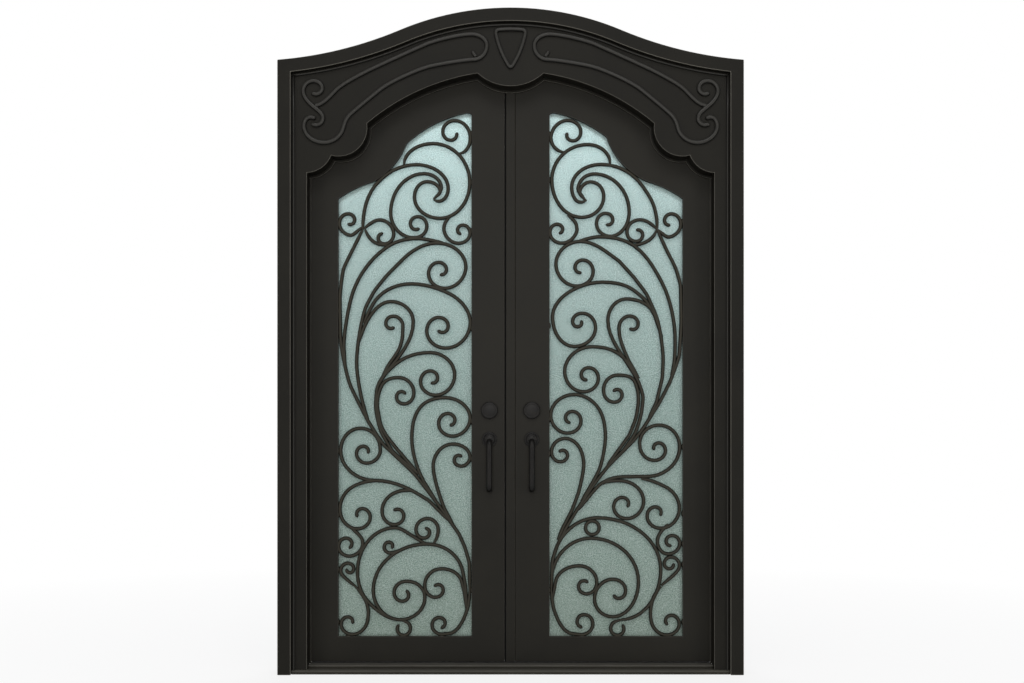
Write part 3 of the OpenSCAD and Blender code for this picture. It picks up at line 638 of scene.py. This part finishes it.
def mitred(piece, corner, along, keep):  # cuts a swept piece on the plane through a corner
    normal = Vector((along.y, 0, -along.x)).normalized()
    if normal.dot(keep - corner) > 0:
        normal = -normal
    bm = bmesh.new()
    bm.from_mesh(piece.data)
    cut = bmesh.ops.bisect_plane(bm, geom=bm.verts[:] + bm.edges[:] + bm.faces[:], plane_co=corner,
                                 plane_no=normal, clear_outer=True)
    bmesh.ops.holes_fill(bm, edges=[e for e in cut["geom_cut"] if isinstance(e, bmesh.types.BMEdge)])
    bm.to_mesh(piece.data)
    bm.free()


shoulder = halfEdge(beadLook["inset"])[-1]
mitreWay = (halfEdge(beadLook["inset"] + beadLook["mitreReach"])[-1]
            - halfEdge(beadLook["inset"] - beadLook["mitreReach"])[-1])
for side, node in ((-1, "left_bead"), (1, "right_bead")):
    foot = Vector((shoulder.x, beadLook["foot"]))
    top = shoulder + Vector((0, beadLook["overrun"]))
    line = [foot + (top - foot) * i / beadLook["steps"] for i in range(beadLook["steps"] + 1)]
    line = [Vector((side * p.x, p.y)) for p in line]
    bead = evenBar(node + "Round", onFace(line, faceY), beadLook["sizes"], reliefPaint)
    corner = Vector((side * shoulder.x, faceY, shoulder.y)) * mm
    mitred(bead, corner, Vector((side * mitreWay.x, mitreWay.y)), Vector((side * shoulder.x, faceY, 0)) * mm)
    handOver(bead, "frame", None, [node])
line = headEdge(beadLook["inset"])
out = (line[-1] - line[-2]).normalized() * beadLook["overrun"]
line = [line[0] + Vector((-out.x, out.y))] + line + [line[-1] + out]
bead = evenBar("headBeadRound", onFace(line, faceY), beadLook["sizes"], reliefPaint)
for side in (-1, 1):
    corner = Vector((side * shoulder.x, faceY, shoulder.y)) * mm
    mitred(bead, corner, Vector((side * mitreWay.x, mitreWay.y)), Vector((0, faceY, headShape["crown"])) * mm)
handOver(bead, "frame", None, ["head_bead"])

# Raised scrolls and shield on the header
strandY = faceY - 3.0
strandLook = {"step": 8.0, "tip": 8.0, "taper": 9.0,
              "sizes": {"Width": 18.0 * mm, "Depth": 17.0 * mm, "Fillet": 8.0 * mm,
                        "Facing": (0.0, -1.0, 0.0)}}
strands = [  # knots, free ends, share of the full thickness
    ([[-790, 2300, 10], [-705, 2365, 46], [-573, 2444, 27], [-330, 2554, 20], [-160, 2590, 0],
      [-96, 2545, -90], [-150, 2487, 180], [-330, 2459, 195], [-522, 2370, 216], [-652, 2262, 226],
      [-676, 2214, -102], [-755, 2151, 180], [-836, 2222, 88], [-809, 2254, 0], [-789, 2246, -38]],
     ("end",), 1.0),
    ([[-803, 2356, -65], [-788, 2347, 0], [-762, 2372, 90], [-797, 2401, 180], [-839, 2361, -90],
      [-800, 2299, -40], [-759, 2252, -88], [-787, 2222, 180], [-807, 2226, 165]], ("start", "end"), 1.0),
    ([[-156, 2522, -62], [-140, 2499, -45]], ("start",), 0.8)]
for side, node in ((-1, "left_header_scroll"), (1, "right_header_scroll")):
    lines = []
    for knots, ends, share in strands:
        points = route(knots, None, strandLook["step"])
        points = [Vector((-side * p.x, p.y)) for p in points]
        if "end" in ends:
            points = withTip(points, strandLook["tip"])
        if "start" in ends:
            points = withTip(points[::-1], strandLook["tip"])[::-1]
        swell = [share * each for each in tipSwell(points, ends, strandLook["taper"])]
        lines.append((onFace(points, strandY), swell, False))
    scroll = sweptBars(node + "Round", lines, strandLook["sizes"], reliefPaint)
    handOver(scroll, "frame", None, [node])

shieldLook = {"corners": [(0, 2451), (62, 2606), (-62, 2606)], "bows": [380, 480, 380], "round": 12.0,
              "sizes": {"Width": 16.0 * mm, "Depth": 18.0 * mm, "Fillet": 7.0 * mm,
                        "Facing": (0.0, -1.0, 0.0)}}


def bowedSide(p, q, radius, count=24):  # arc from p to q that bulges to the right of the way
    d = q - p
    right = Vector((d.y, -d.x)).normalized()
    sag = radius - math.sqrt(radius * radius - d.length_squared / 4)
    return [p + d * i / count + right * sag * (1 - (2 * i / count - 1) ** 2) for i in range(count + 1)]


def bowedLoop(look):  # closed line of bowed sides with rounded corners
    corners = [Vector(c) for c in look["corners"]]
    sides = []
    for i, p in enumerate(corners):
        q = corners[(i + 1) % len(corners)]
        side = bowedSide(p, q, look["bows"][i])
        sides.append([r for r in side if min((r - p).length, (r - q).length) > look["round"]])
    points = []
    for i, side in enumerate(sides):
        start, end, corner = sides[i - 1][-1], side[0], corners[i]
        points += [start * (1 - t) ** 2 + corner * 2 * t * (1 - t) + end * t * t
                   for t in (0.2, 0.35, 0.5, 0.65, 0.8)]
        points += side
    return points


loop = onFace(bowedLoop(shieldLook), strandY)
shield = evenBar("shieldRound", loop, shieldLook["sizes"], reliefPaint, closed=True)
handOver(shield, "frame", None, ["keystone_bead"])
print("header ornament swept")

# Scroll grilles: knots [across, up, heading] and volutes
# [across, up, mouth radius, eye radius, mouth angle, sweep],
# from the opening's lower corner at the hinge side
leftScrolls = [
    [[[498, 1989, 5]], [468, 2071, 73, 18, 0, 375]],
    [[[270, 1944, 90], [390, 2030, 0], [541, 1870, -90], [418, 1722, 180], [313, 1810, 90],
      [365, 1873, 0], [419, 1835, -80], [392, 1801, -130]], []],
    [[[100, 1676, 90], [150, 1856, 52], [320, 1943, 0], [452, 1845, -90], [412, 1792, 180],
      [392, 1801, 140]], []],
    [[[410, 1818, 60], [424, 1850, 95], [352, 1906, 180], [215, 1745, -90]], [322, 1696, 53, 18, -90, 400]],
    [[[460, 1728, -140], [434, 1680, -90]], [507, 1670, 72, 11, 180, 450]],
    [[[98, 1685, -150]], [46, 1711, 59, 12, -90, -400]],
    [[[105, 1678, 45]], [182, 1646, 68, 11, 90, -370]],
    [[[110, 1675, -70], [165, 1616, -15], [210, 1612, 10]], []],
    [[[541, 190, 90], [539, 301, 93], [522, 363, 104], [498, 418, 112], [445, 495, 121], [310, 672, 132],
      [190, 785, 135], [120, 890, 120], [50, 1030, 112], [8, 1240, 92], [6, 1400, 87], [21, 1515, 72],
      [52, 1580, 60], [100, 1676, 62]], []],
    [[[30, 1100, 103], [22, 1200, 90], [60, 1420, 70], [210, 1610, 32], [330, 1639, 0],
      [430, 1622, -14]], []],
    [[[125, 885, 115], [75, 1110, 93], [111, 1353, 71], [150, 1426, 57], [202, 1490, 48], [272, 1560, 43],
      [400, 1620, 2]], [421, 1506, 102, 15, 0, -465]],
    [[[104, 1290, 70], [155, 1388, 50], [300, 1452, 0], [460, 1410, -28]], [423, 1272, 118, 16, 0, -505]],
    [[[86, 1215, 82], [104, 1270, 66], [215, 1379, 0], [308, 1295, -90], [240, 1140, -128], [157, 1012, -98],
      [153, 950, -88], [176, 843, -66], [224, 760, -51], [330, 668, -48]], []],
    [[[170, 1040, 66], [210, 1124, 50], [248, 1180, 64], [264, 1245, 90]], [219, 1285, 46, 14, 0, 320]],
    [[[165, 1030, 72], [240, 1125, 38], [375, 1169, 0]], [385, 1060, 92, 15, 0, -470]],
    [[[330, 668, 132], [244, 768, 130], [172, 880, 103], [160, 950, 91], [180, 1036, 60], [246, 1066, 0]],
     [263, 991, 46, 13, 0, -340]],
    [[[405, 555, 128], [350, 640, 118], [302, 815, 90], [337, 944, 50], [438, 983, 0]],
     [457, 886, 84, 16, 0, -450]],
    [[[472, 462, 122], [436, 527, 112], [390, 700, 90], [472, 792, 0]], [498, 731, 43, 11, 0, -330]],
    [[[452, 478, 135], [370, 560, 146], [150, 642, 180], [9, 765, 90], [90, 857, 0], [172, 772, -90]],
     [107, 760, 65, 14, 0, -390]],
    [[[170, 640, 175], [70, 622, 204]], [92, 500, 83, 14, 180, 400]],
    [[[318, 596, 160], [262, 600, 188]], [239, 502, 58, 18, 180, 310]],
    [[[45, 452, -40], [100, 386, -88]], [36, 378, 64, 15, 0, -430]],
    [[[70, 205, 140]], [44, 275, 35, 9, 180, -380]],
    [[[70, 205, -40], [110, 150, -62]], [44, 58, 74, 12, 0, -390]],
    [[[528, 110, 95], [518, 184, 101], [505, 232, 112], [425, 278, 180]], [407, 196, 50, 13, 180, 330]],
    [[[541, 190, -91], [534, 125, -101], [510, 60, -120], [468, 14, -156]], [419, 51, 44, 16, -75, -370]],
    [[[255, 67, -10]], [267, 31, 31, 24, 60, -285]],
    [[[255, 68, 180], [120, 145, 132], [78, 265, 90], [232, 447, 0], [310, 410, -30], [365, 382, -5]], []],
    [[[392, 382, 55], [411, 438, 90]], [357, 431, 53, 12, 90, 370]],
    [[[528, 125, 92], [524, 195, 93], [508, 282, 108], [365, 380, 180], [143, 190, -90], [255, 68, 0],
      [356, 160, 90]], [268, 173, 52, 17, 90, 330]],
    [[[270, 361, 197]], [210, 371, 28, 11, -90, -320]]]
rightScrolls = [
    [[[488, 1994, 5]], [459, 2068, 82, 16, 0, 385]],
    [[[299, 1948, 92], [392, 2026, 0], [539, 1880, -90], [416, 1726, 180], [325, 1812, 90],
      [378, 1872, 0], [424, 1832, -80], [400, 1796, -130]], []],
    [[[105, 1676, 90], [106, 1715, 88], [117, 1770, 74], [179, 1872, 50], [337, 1944, 0], [457, 1851, -90],
      [420, 1788, 180], [396, 1798, 140]], []],
    [[[407, 1806, 60], [431, 1845, 95], [364, 1905, 180], [220, 1748, -90]], [310, 1711, 62, 14, -90, 385]],
    [[[474, 1736, -138], [437, 1690, -92]], [511, 1673, 76, 11, 180, 450]],
    [[[105, 1676, -148]], [53, 1709, 64, 14, -90, -370]],
    [[[105, 1676, 48]], [187, 1658, 57, 15, 90, -380]],
    [[[108, 1672, -72], [165, 1619, -18], [208, 1612, 8]], []],
    [[[541, 190, 90], [537, 305, 93], [515, 377, 110], [481, 445, 116], [440, 514, 121], [357, 637, 127],
      [309, 699, 130], [206, 802, 134], [158, 864, 122], [97, 960, 118], [55, 1042, 113], [14, 1160, 98],
      [6, 1290, 90], [9, 1447, 82], [28, 1515, 70], [59, 1577, 60], [105, 1676, 66]], []],
    [[[48, 1075, 115], [31, 1225, 90], [83, 1453, 63], [203, 1611, 34], [350, 1646, 0],
      [440, 1624, -18]], []],
    [[[140, 900, 116], [108, 965, 106], [84, 1065, 98], [80, 1140, 90], [108, 1318, 70], [150, 1412, 58],
      [200, 1478, 51], [262, 1546, 44], [330, 1595, 36], [400, 1625, 10]], [419, 1515, 101, 16, 0, -460]],
    [[[107, 1302, 70], [148, 1378, 54], [206, 1429, 34], [330, 1459, 0], [460, 1423, -30], [536, 1316, -90],
      [447, 1194, 180], [359, 1272, 90], [414, 1331, 0]], [430, 1293, 23, 12, 0, -220]],
    [[[84, 1232, 68], [117, 1327, 66], [230, 1390, 0], [308, 1302, -90], [242, 1146, -124], [181, 1046, -112],
      [163, 985, -94], [170, 920, -80], [200, 829, -60], [245, 765, -50], [310, 700, -48]], []],
    [[[180, 1062, 64], [220, 1131, 56], [241, 1179, 64], [259, 1235, 80]], [209, 1282, 52, 15, 0, 310]],
    [[[178, 1035, 72], [220, 1122, 54], [261, 1162, 36], [371, 1193, 0]], [394, 1073, 90, 16, 0, -460]],
    [[[310, 706, 131], [254, 781, 126], [220, 829, 118], [193, 898, 105], [182, 966, 92], [199, 1052, 62],
      [268, 1076, 0]], [274, 1000, 50, 13, 0, -330]],
    [[[418, 556, 125], [344, 685, 112], [318, 820, 90], [357, 953, 48], [445, 996, 0]],
     [461, 896, 81, 15, 0, -450]],
    [[[515, 397, 113], [491, 452, 118], [455, 522, 112], [428, 595, 106], [407, 705, 90], [422, 772, 62],
      [484, 815, 0]], [497, 750, 42, 13, 0, -330]],
    [[[430, 520, 128], [345, 622, 140], [270, 655, 170], [150, 658, 181], [12, 781, 90], [97, 870, 0],
      [177, 795, -90]], [104, 774, 71, 13, 0, -390]],
    [[[170, 648, 178], [75, 618, 205]], [106, 506, 90, 14, 180, 400]],
    [[[330, 628, 150], [261, 641, 180]], [243, 543, 81, 17, 180, 400]],
    [[[60, 462, -45], [104, 392, -90], [60, 339, 180], [12, 383, 90]], [48, 388, 36, 14, 180, -280]],
    [[[88, 208, 136]], [52, 296, 39, 13, 180, -380]],
    [[[88, 205, -45], [122, 155, -72]], [52, 60, 77, 14, 0, -420]],
    [[[534, 160, 97], [522, 232, 108], [426, 290, 180]], [403, 210, 48, 15, 180, 325]],
    [[[541, 190, -91], [534, 125, -101], [510, 60, -120], [468, 14, -156]], [410, 57, 52, 20, -75, -370]],
    [[[255, 67, -10]], [267, 31, 31, 24, 60, -285]],
    [[[536, 300, 95], [350, 488, 180], [90, 275, -90], [255, 68, 0]], []],
    [[], [372, 447, 28, 28, 0, 360]],
    [[[538, 250, 95], [378, 404, 180], [182, 225, -90], [288, 80, 0]], [270, 177, 90, 14, 0, 340]]]
grilleLook = {"openX": 709.0, "openZ": 139.0, "openWidth": 549.0, "y": 38.0, "step": 7.0, "tip": 8.0,
              "thin": 0.62, "reach": 30.0,
              "sizes": {"Width": 15.0 * mm, "Depth": 14.0 * mm, "Fillet": 6.6 * mm,
                        "Facing": (0.0, -1.0, 0.0)}}


def onLeaf(points, side, look):
    return [Vector((side * (look["openX"] - p.x), look["y"], look["openZ"] + p.y)) * mm for p in points]


weldLook = {"radius": 6.0, "upright": (1.0, 1.0, 2.2), "flat": (2.2, 1.0, 1.0)}
# heights on the hinge side, heights on the lock side, places along the bottom
weldPlaces = {"left": ([1708, 1340, 765, 500, 275, 60], [2071, 1870, 1670, 1268, 886, 731, 190],
                       [40, 262, 425]),
              "right": ([1709, 1320, 781, 506, 381, 296, 60], [2068, 1880, 1673, 1280, 896, 754, 190],
                        [52, 262, 415])}
for side, name, scrolls in ((-1, "left", leftScrolls), (1, "right", rightScrolls)):
    lines = []
    for knots, volute in scrolls:
        points = route(knots, volute, grilleLook["step"])
        ring = not knots
        if ring:
            points = points[:-1]
        swell = [1.0] * len(points)
        if volute and not ring:
            points = withTip(points, grilleLook["tip"])
        if not ring:
            free = ("end",) if volute else ()
            joined = ("start",) if volute else ("start", "end")
            swell = [a * b for a, b in zip(tipSwell(points, free, grilleLook["tip"]),
                                           drawnIn(points, joined, grilleLook["thin"], grilleLook["reach"]))]
        lines.append((onLeaf(points, side, grilleLook), swell, ring))
    grille = sweptBars(name + "Scrolls", lines, grilleLook["sizes"], forgedPaint)
    handOver(grille, name + "_leaf", None, [name + "_grille"])
    hingeSide, lockSide, bottom = weldPlaces[name]
    upright = [(0.0, up) for up in hingeSide] + [(grilleLook["openWidth"], up) for up in lockSide]
    for part, spots, stretch in (("Upright", upright, weldLook["upright"]),
                                 ("Bottom", [(x, 0) for x in bottom], weldLook["flat"])):
        places = [Vector(p) / mm for p in onLeaf([Vector(spot) for spot in spots], side, grilleLook)]
        welds = domes(name + part + "Welds", places, weldLook["radius"], stretch, forgedPaint)
        handOver(welds, name + "_leaf", None, None)
    print(name, "grille:", len(grille.data.polygons), "faces")

# Leaves, with an open seam between the right one and its meeting strip
leafEdges = {"leaf": 0.0022, "glazing": 0.002, "astragal": 0.0018}
seamLook = {"low": (17.3, 26.0, 20.0), "high": (20.9, 36.0, 2640.0)}


def cutBox(piece, low, high):  # takes a box between two corners out of a piece
    bm = bmesh.new()
    bmesh.ops.create_cube(bm, size=1.0)
    for vert in bm.verts:
        vert.co = [low[k] * mm if vert.co[k] < 0 else high[k] * mm for k in range(3)]
    mesh = bpy.data.meshes.new("cutter")
    bm.to_mesh(mesh)
    bm.free()
    cutter = newObject("cutter", mesh)
    cut = piece.modifiers.new("cut", "BOOLEAN")
    cut.operation = "DIFFERENCE"
    cut.solver = "EXACT"
    cut.object = cutter
    evaluated(piece, piece.name)
    bpy.data.objects.remove(cutter)


for name in ("left", "right"):
    members = [name + "_" + part for part in ("hinge_stile", "lock_stile", "top_rail", "bottom_rail")]
    leaf = fused(name + "LeafFrame", members)
    if name == "right":
        cutBox(leaf, seamLook["low"], seamLook["high"])
    leaf = softened(leaf, leafEdges["leaf"])
    handOver(leaf, name + "_leaf", leafPaint, members)
    glazing = softened(fused(name + "GlazingBead", [name + "_glazing_frame"]), leafEdges["glazing"], 2)
    handOver(glazing, name + "_leaf", leafPaint, [name + "_glazing_frame"])
    nodes[name + "_glass"].data.materials.clear()
    nodes[name + "_glass"].data.materials.append(paneGlass)
strip = softened(fused("meetingStrip", ["astragal"]), leafEdges["astragal"])
handOver(strip, "right_leaf", leafPaint, ["astragal"])
sealLook = {"x": -21.2, "y": 60.0, "foot": 30.8, "head": 2588.0, "steps": 60,
            "sizes": {"Width": 8.0 * mm, "Depth": 7.5 * mm, "Fillet": 2.5 * mm, "Facing": (1.0, 0.0, 0.0)}}
rise = sealLook["head"] - sealLook["foot"]
heights = [sealLook["foot"] + rise * i / sealLook["steps"] for i in range(sealLook["steps"] + 1)]
line = [Vector((sealLook["x"], sealLook["y"], z)) * mm for z in heights]
seal = evenBar("meetingPile", line, sealLook["sizes"], pileSeal)
handOver(seal, "right_leaf", None, ["meeting_seal"])
print("leaves softened")


# Lathe-turned roses and swept pulls
def lathe(bm, profile, centre, facing, count=48):  # profile: (radius, stand-off), from the rim to the middle
    rings = []
    for radius, height in profile:
        turns = [2 * math.pi * k / count for k in range(count if radius else 1)]
        ring = [Vector((radius * math.cos(a), facing * height, radius * math.sin(a))) for a in turns]
        rings.append([bm.verts.new(centre + p) for p in ring])
    for ring, following in zip(rings, rings[1:]):
        for k in range(count):
            j = (k + 1) % count
            if len(following) == 1:
                bm.faces.new((ring[k], ring[j], following[0]))
            else:
                bm.faces.new((ring[k], ring[j], following[j], following[k]))
    bm.faces.new(rings[0])


def turnedPiece(name, profile, places, crease=40):  # places: (centre in metres, way out of the leaf)
    bm = bmesh.new()
    for centre, facing in places:
        lathe(bm, profile, centre, facing)
    bmesh.ops.recalc_face_normals(bm, faces=bm.faces)
    mesh = bpy.data.meshes.new(name)
    bm.to_mesh(mesh)
    bm.free()
    smooth(mesh)
    mesh.set_sharp_from_angle(angle=math.radians(crease))
    return newObject(name, mesh)


fittingLook = {"backset": 87.0, "pullZ": 950.0, "deadboltZ": 1069.0, "front": 28.0, "back": 78.0,
               "gripWidth": 24.0, "gripRound": 0.49, "gripReach": 50.0, "gripBend": 20.0, "gripDrop": 9.0,
               "gripLength": 195.0, "gripFoot": 1.0, "gripHead": 8.0, "hingeEdge": 0.0012}
deadboltProfile = [(35.0, 0.0), (35.0, 8.6), (34.6, 10.4), (33.4, 12.0), (31.6, 13.2), (29.4, 13.9),
                   (27.0, 14.2), (26.0, 13.9), (25.4, 13.5), (24.6, 13.8), (22.4, 14.2), (0.0, 14.5)]
rosetteProfile = [(31.0, 0.0), (31.0, 3.2), (30.5, 4.6), (29.0, 5.6), (27.0, 6.0), (25.4, 5.8), (24.2, 5.2),
                  (23.2, 5.6), (22.2, 7.0), (20.6, 8.6), (18.6, 9.6), (16.8, 9.8), (15.6, 9.4), (14.6, 9.8),
                  (13.4, 10.6), (11.6, 11.0), (0.0, 11.0)]


def inMetres(profile):
    return [(r * mm, h * mm) for r, h in profile]


def gripPath(look, turns=range(0, 91, 6), steps=10):  # [stand-off, up] from the rosette down to the leaf
    bend, reach, low = look["gripBend"], look["gripReach"], look["gripLength"]
    path = [Vector((look["gripHead"], 0))]
    path += [Vector((reach - bend, -bend)) + bend * way(90 - a) for a in turns]
    path += [Vector((reach, -bend - (low - 2 * bend) * i / steps)) for i in range(1, steps)]
    path += [Vector((reach - bend, -low + bend)) + bend * way(-a) for a in turns]
    return path + [Vector((look["gripFoot"], -low))]


def pieceName(side, part):
    return side + part.title().replace("_", "")


look = fittingLook
faces = ((look["front"], -1), (look["back"], 1))
gripSizes = {"Width": look["gripWidth"] * mm, "Depth": look["gripWidth"] * mm,
             "Fillet": look["gripWidth"] * look["gripRound"] * mm, "Facing": (1.0, 0.0, 0.0)}
for side, name in ((-1, "left"), (1, "right")):
    for part, profile, z in (("deadbolt", deadboltProfile, look["deadboltZ"]),
                             ("pull_rosettes", rosetteProfile, look["pullZ"])):
        places = [(Vector((side * look["backset"], y, z)) * mm, facing) for y, facing in faces]
        piece = turnedPiece(pieceName(name, part), inMetres(profile), places)
        handOver(piece, name + "_leaf", fittingMetal, [name + "_" + part])
    lines = []
    for y, facing in faces:
        top = Vector((side * look["backset"], y, look["pullZ"] - look["gripDrop"]))
        points = [(top + Vector((0, facing * p.x, p.y))) * mm for p in gripPath(look)]
        lines.append((points, [1.0] * len(points), False))
    grips = sweptBars(name + "PullGrips", lines, gripSizes, fittingMetal)
    handOver(grips, name + "_leaf", None, [name + "_pull_grips"])
    for part, body in (("frame_hinges", "frame"), ("leaf_hinges", name + "_leaf")):
        piece = softened(fused(pieceName(name, part), [name + "_" + part]), look["hingeEdge"], 2)
        handOver(piece, body, hingePaint, [name + "_" + part])

# Screws on the hinge plates and the glazing frames
screwLook = {"hingeZ": (250.0, 1200.0, 2150.0), "rows": (14.0, 41.0), "frameX": 874.0, "frameY": 84.0,
             "plateX": 812.0, "plateY": 82.0, "plateLift": 56.0, "hingeRadius": 5.5,
             "glazingX": (153.3, 715.7), "glazingY": 78.0, "glazingZ": [260.0 + 270.0 * i for i in range(6)],
             "glazingRadius": 4.0, "stretch": (1.0, 0.4, 1.0)}
look = screwLook
rows = [z + row for z in look["hingeZ"] for row in look["rows"]]
for side, name in ((-1, "left"), (1, "right")):
    onFrame = [(side * look["frameX"], look["frameY"], z) for z in rows]
    onPlate = [(side * look["plateX"], look["plateY"], z + look["plateLift"]) for z in rows]
    onGlazing = [(side * x, look["glazingY"], z) for x in look["glazingX"] for z in look["glazingZ"]]
    for part, places, radius, body in (("FrameScrews", onFrame, look["hingeRadius"], "frame"),
                                       ("LeafScrews", onPlate, look["hingeRadius"], name + "_leaf"),
                                       ("GlazingScrews", onGlazing, look["glazingRadius"], name + "_leaf")):
        screws = domes(name + part, places, radius, look["stretch"], hingePaint)
        handOver(screws, body, None, None)
print("fittings made")

# Stage: pale floor, white surround, soft lights, camera
stageLook = {"floorSize": 60.0, "floorZ": -0.0005, "floorTone": 0.80, "nearGlow": 0.80, "fade": (1.2, 4.5),
             "camera": (0.0, -5.08, 0.95), "lens": 43.66, "sensor": 36.0, "shift": (0.0014, 0.0956),
             "worldLight": 0.45, "worldTint": (0.95, 0.97, 1.0, 1.0)}


def softFloor(look):
    f = Finish("paleFloor")
    path = f.tree.nodes.new("ShaderNodeLightPath")
    seen = f.add("ShaderNodeMath", {"operation": "MAXIMUM"}, {0: Socket(f, path.outputs["Is Camera Ray"]),
                                                              1: Socket(f, path.outputs["Is Glossy Ray"])})
    speck = f.noise(f.place(), 30.0, 3.0)
    tone = f.mix(speck * 0.06, grey(look["floorTone"]), grey(look["floorTone"] * 0.9))
    matt = f.add("ShaderNodeBsdfDiffuse", {}, {"Color": tone})
    glow = f.add("ShaderNodeEmission", {}, {"Color": (1.0, 1.0, 1.0, 1.0), "Strength": 1.0})
    away = f.add("ShaderNodeVectorMath", {"operation": "LENGTH"}, {0: f.place()}, out=1)
    share = look["nearGlow"] + (1 - look["nearGlow"]) * f.spread(away, *look["fade"])
    return f.surface(f.add("ShaderNodeMixShader", {}, {0: seen * share, 1: matt, 2: glow}))


half = stageLook["floorSize"] / 2
floorMesh = bpy.data.meshes.new("floor")
corners = [(-half, -half, 0), (half, -half, 0), (half, half, 0), (-half, half, 0)]
floorMesh.from_pydata(corners, [], [(0, 1, 2, 3)])
floor = newObject("floor", floorMesh)
floor.location.z = stageLook["floorZ"]
floor.data.materials.append(softFloor(stageLook))

world = bpy.data.worlds.new("studio")
bpy.context.scene.world = world
world.use_nodes = True
put, link = world.node_tree.nodes.new, world.node_tree.links.new
world.node_tree.nodes.clear()
light, white = put("ShaderNodeBackground"), put("ShaderNodeBackground")
light.inputs["Color"].default_value = stageLook["worldTint"]
light.inputs["Strength"].default_value = stageLook["worldLight"]
white.inputs["Color"].default_value = (1.0, 1.0, 1.0, 1.0)
path, either = put("ShaderNodeLightPath"), put("ShaderNodeMath")
either.operation = "MAXIMUM"
link(path.outputs["Is Camera Ray"], either.inputs[0])
link(path.outputs["Is Transmission Ray"], either.inputs[1])
choose = put("ShaderNodeMixShader")
link(either.outputs[0], choose.inputs[0])
link(light.outputs[0], choose.inputs[1])
link(white.outputs[0], choose.inputs[2])
link(choose.outputs[0], put("ShaderNodeOutputWorld").inputs["Surface"])


def softbox(name, place, target, size, power, tint=(1.0, 1.0, 1.0)):
    lamp = bpy.data.lights.new(name, "AREA")
    lamp.shape = "RECTANGLE"
    lamp.size, lamp.size_y = size
    lamp.energy = power
    lamp.color = tint
    made = bpy.data.objects.new(name, lamp)
    bpy.context.scene.collection.objects.link(made)
    made.location = place
    made.rotation_euler = (Vector(target) - Vector(place)).to_track_quat("-Z", "Y").to_euler()


softbox("keyAbove", (0.0, -4.6, 6.6), (0.0, 0.0, 1.2), (4.6, 2.4), 150.0)
softbox("frontFill", (0.0, -7.4, 2.6), (0.0, 0.0, 1.3), (3.0, 2.0), 105.0, (1.0, 0.97, 0.93))
softbox("sideLeft", (-3.8, -3.6, 1.7), (0.0, 0.0, 1.2), (1.2, 3.0), 36.0, (1.0, 0.95, 0.88))
softbox("sideRight", (3.8, -3.6, 1.7), (0.0, 0.0, 1.2), (1.2, 3.0), 36.0, (1.0, 0.95, 0.88))
softbox("behindTop", (0.0, 3.4, 3.8), (0.0, 0.0, 1.4), (4.0, 1.6), 90.0)

camera = bpy.data.objects.new("photoView", bpy.data.cameras.new("photoView"))
bpy.context.scene.collection.objects.link(camera)
camera.location = stageLook["camera"]
camera.rotation_euler = (math.radians(90), 0.0, 0.0)
camera.data.lens = stageLook["lens"]
camera.data.sensor_width = stageLook["sensor"]
camera.data.shift_x, camera.data.shift_y = stageLook["shift"]
bpy.context.scene.camera = camera
bpy.context.scene.view_settings.view_transform = "Standard"

print("scene ready")
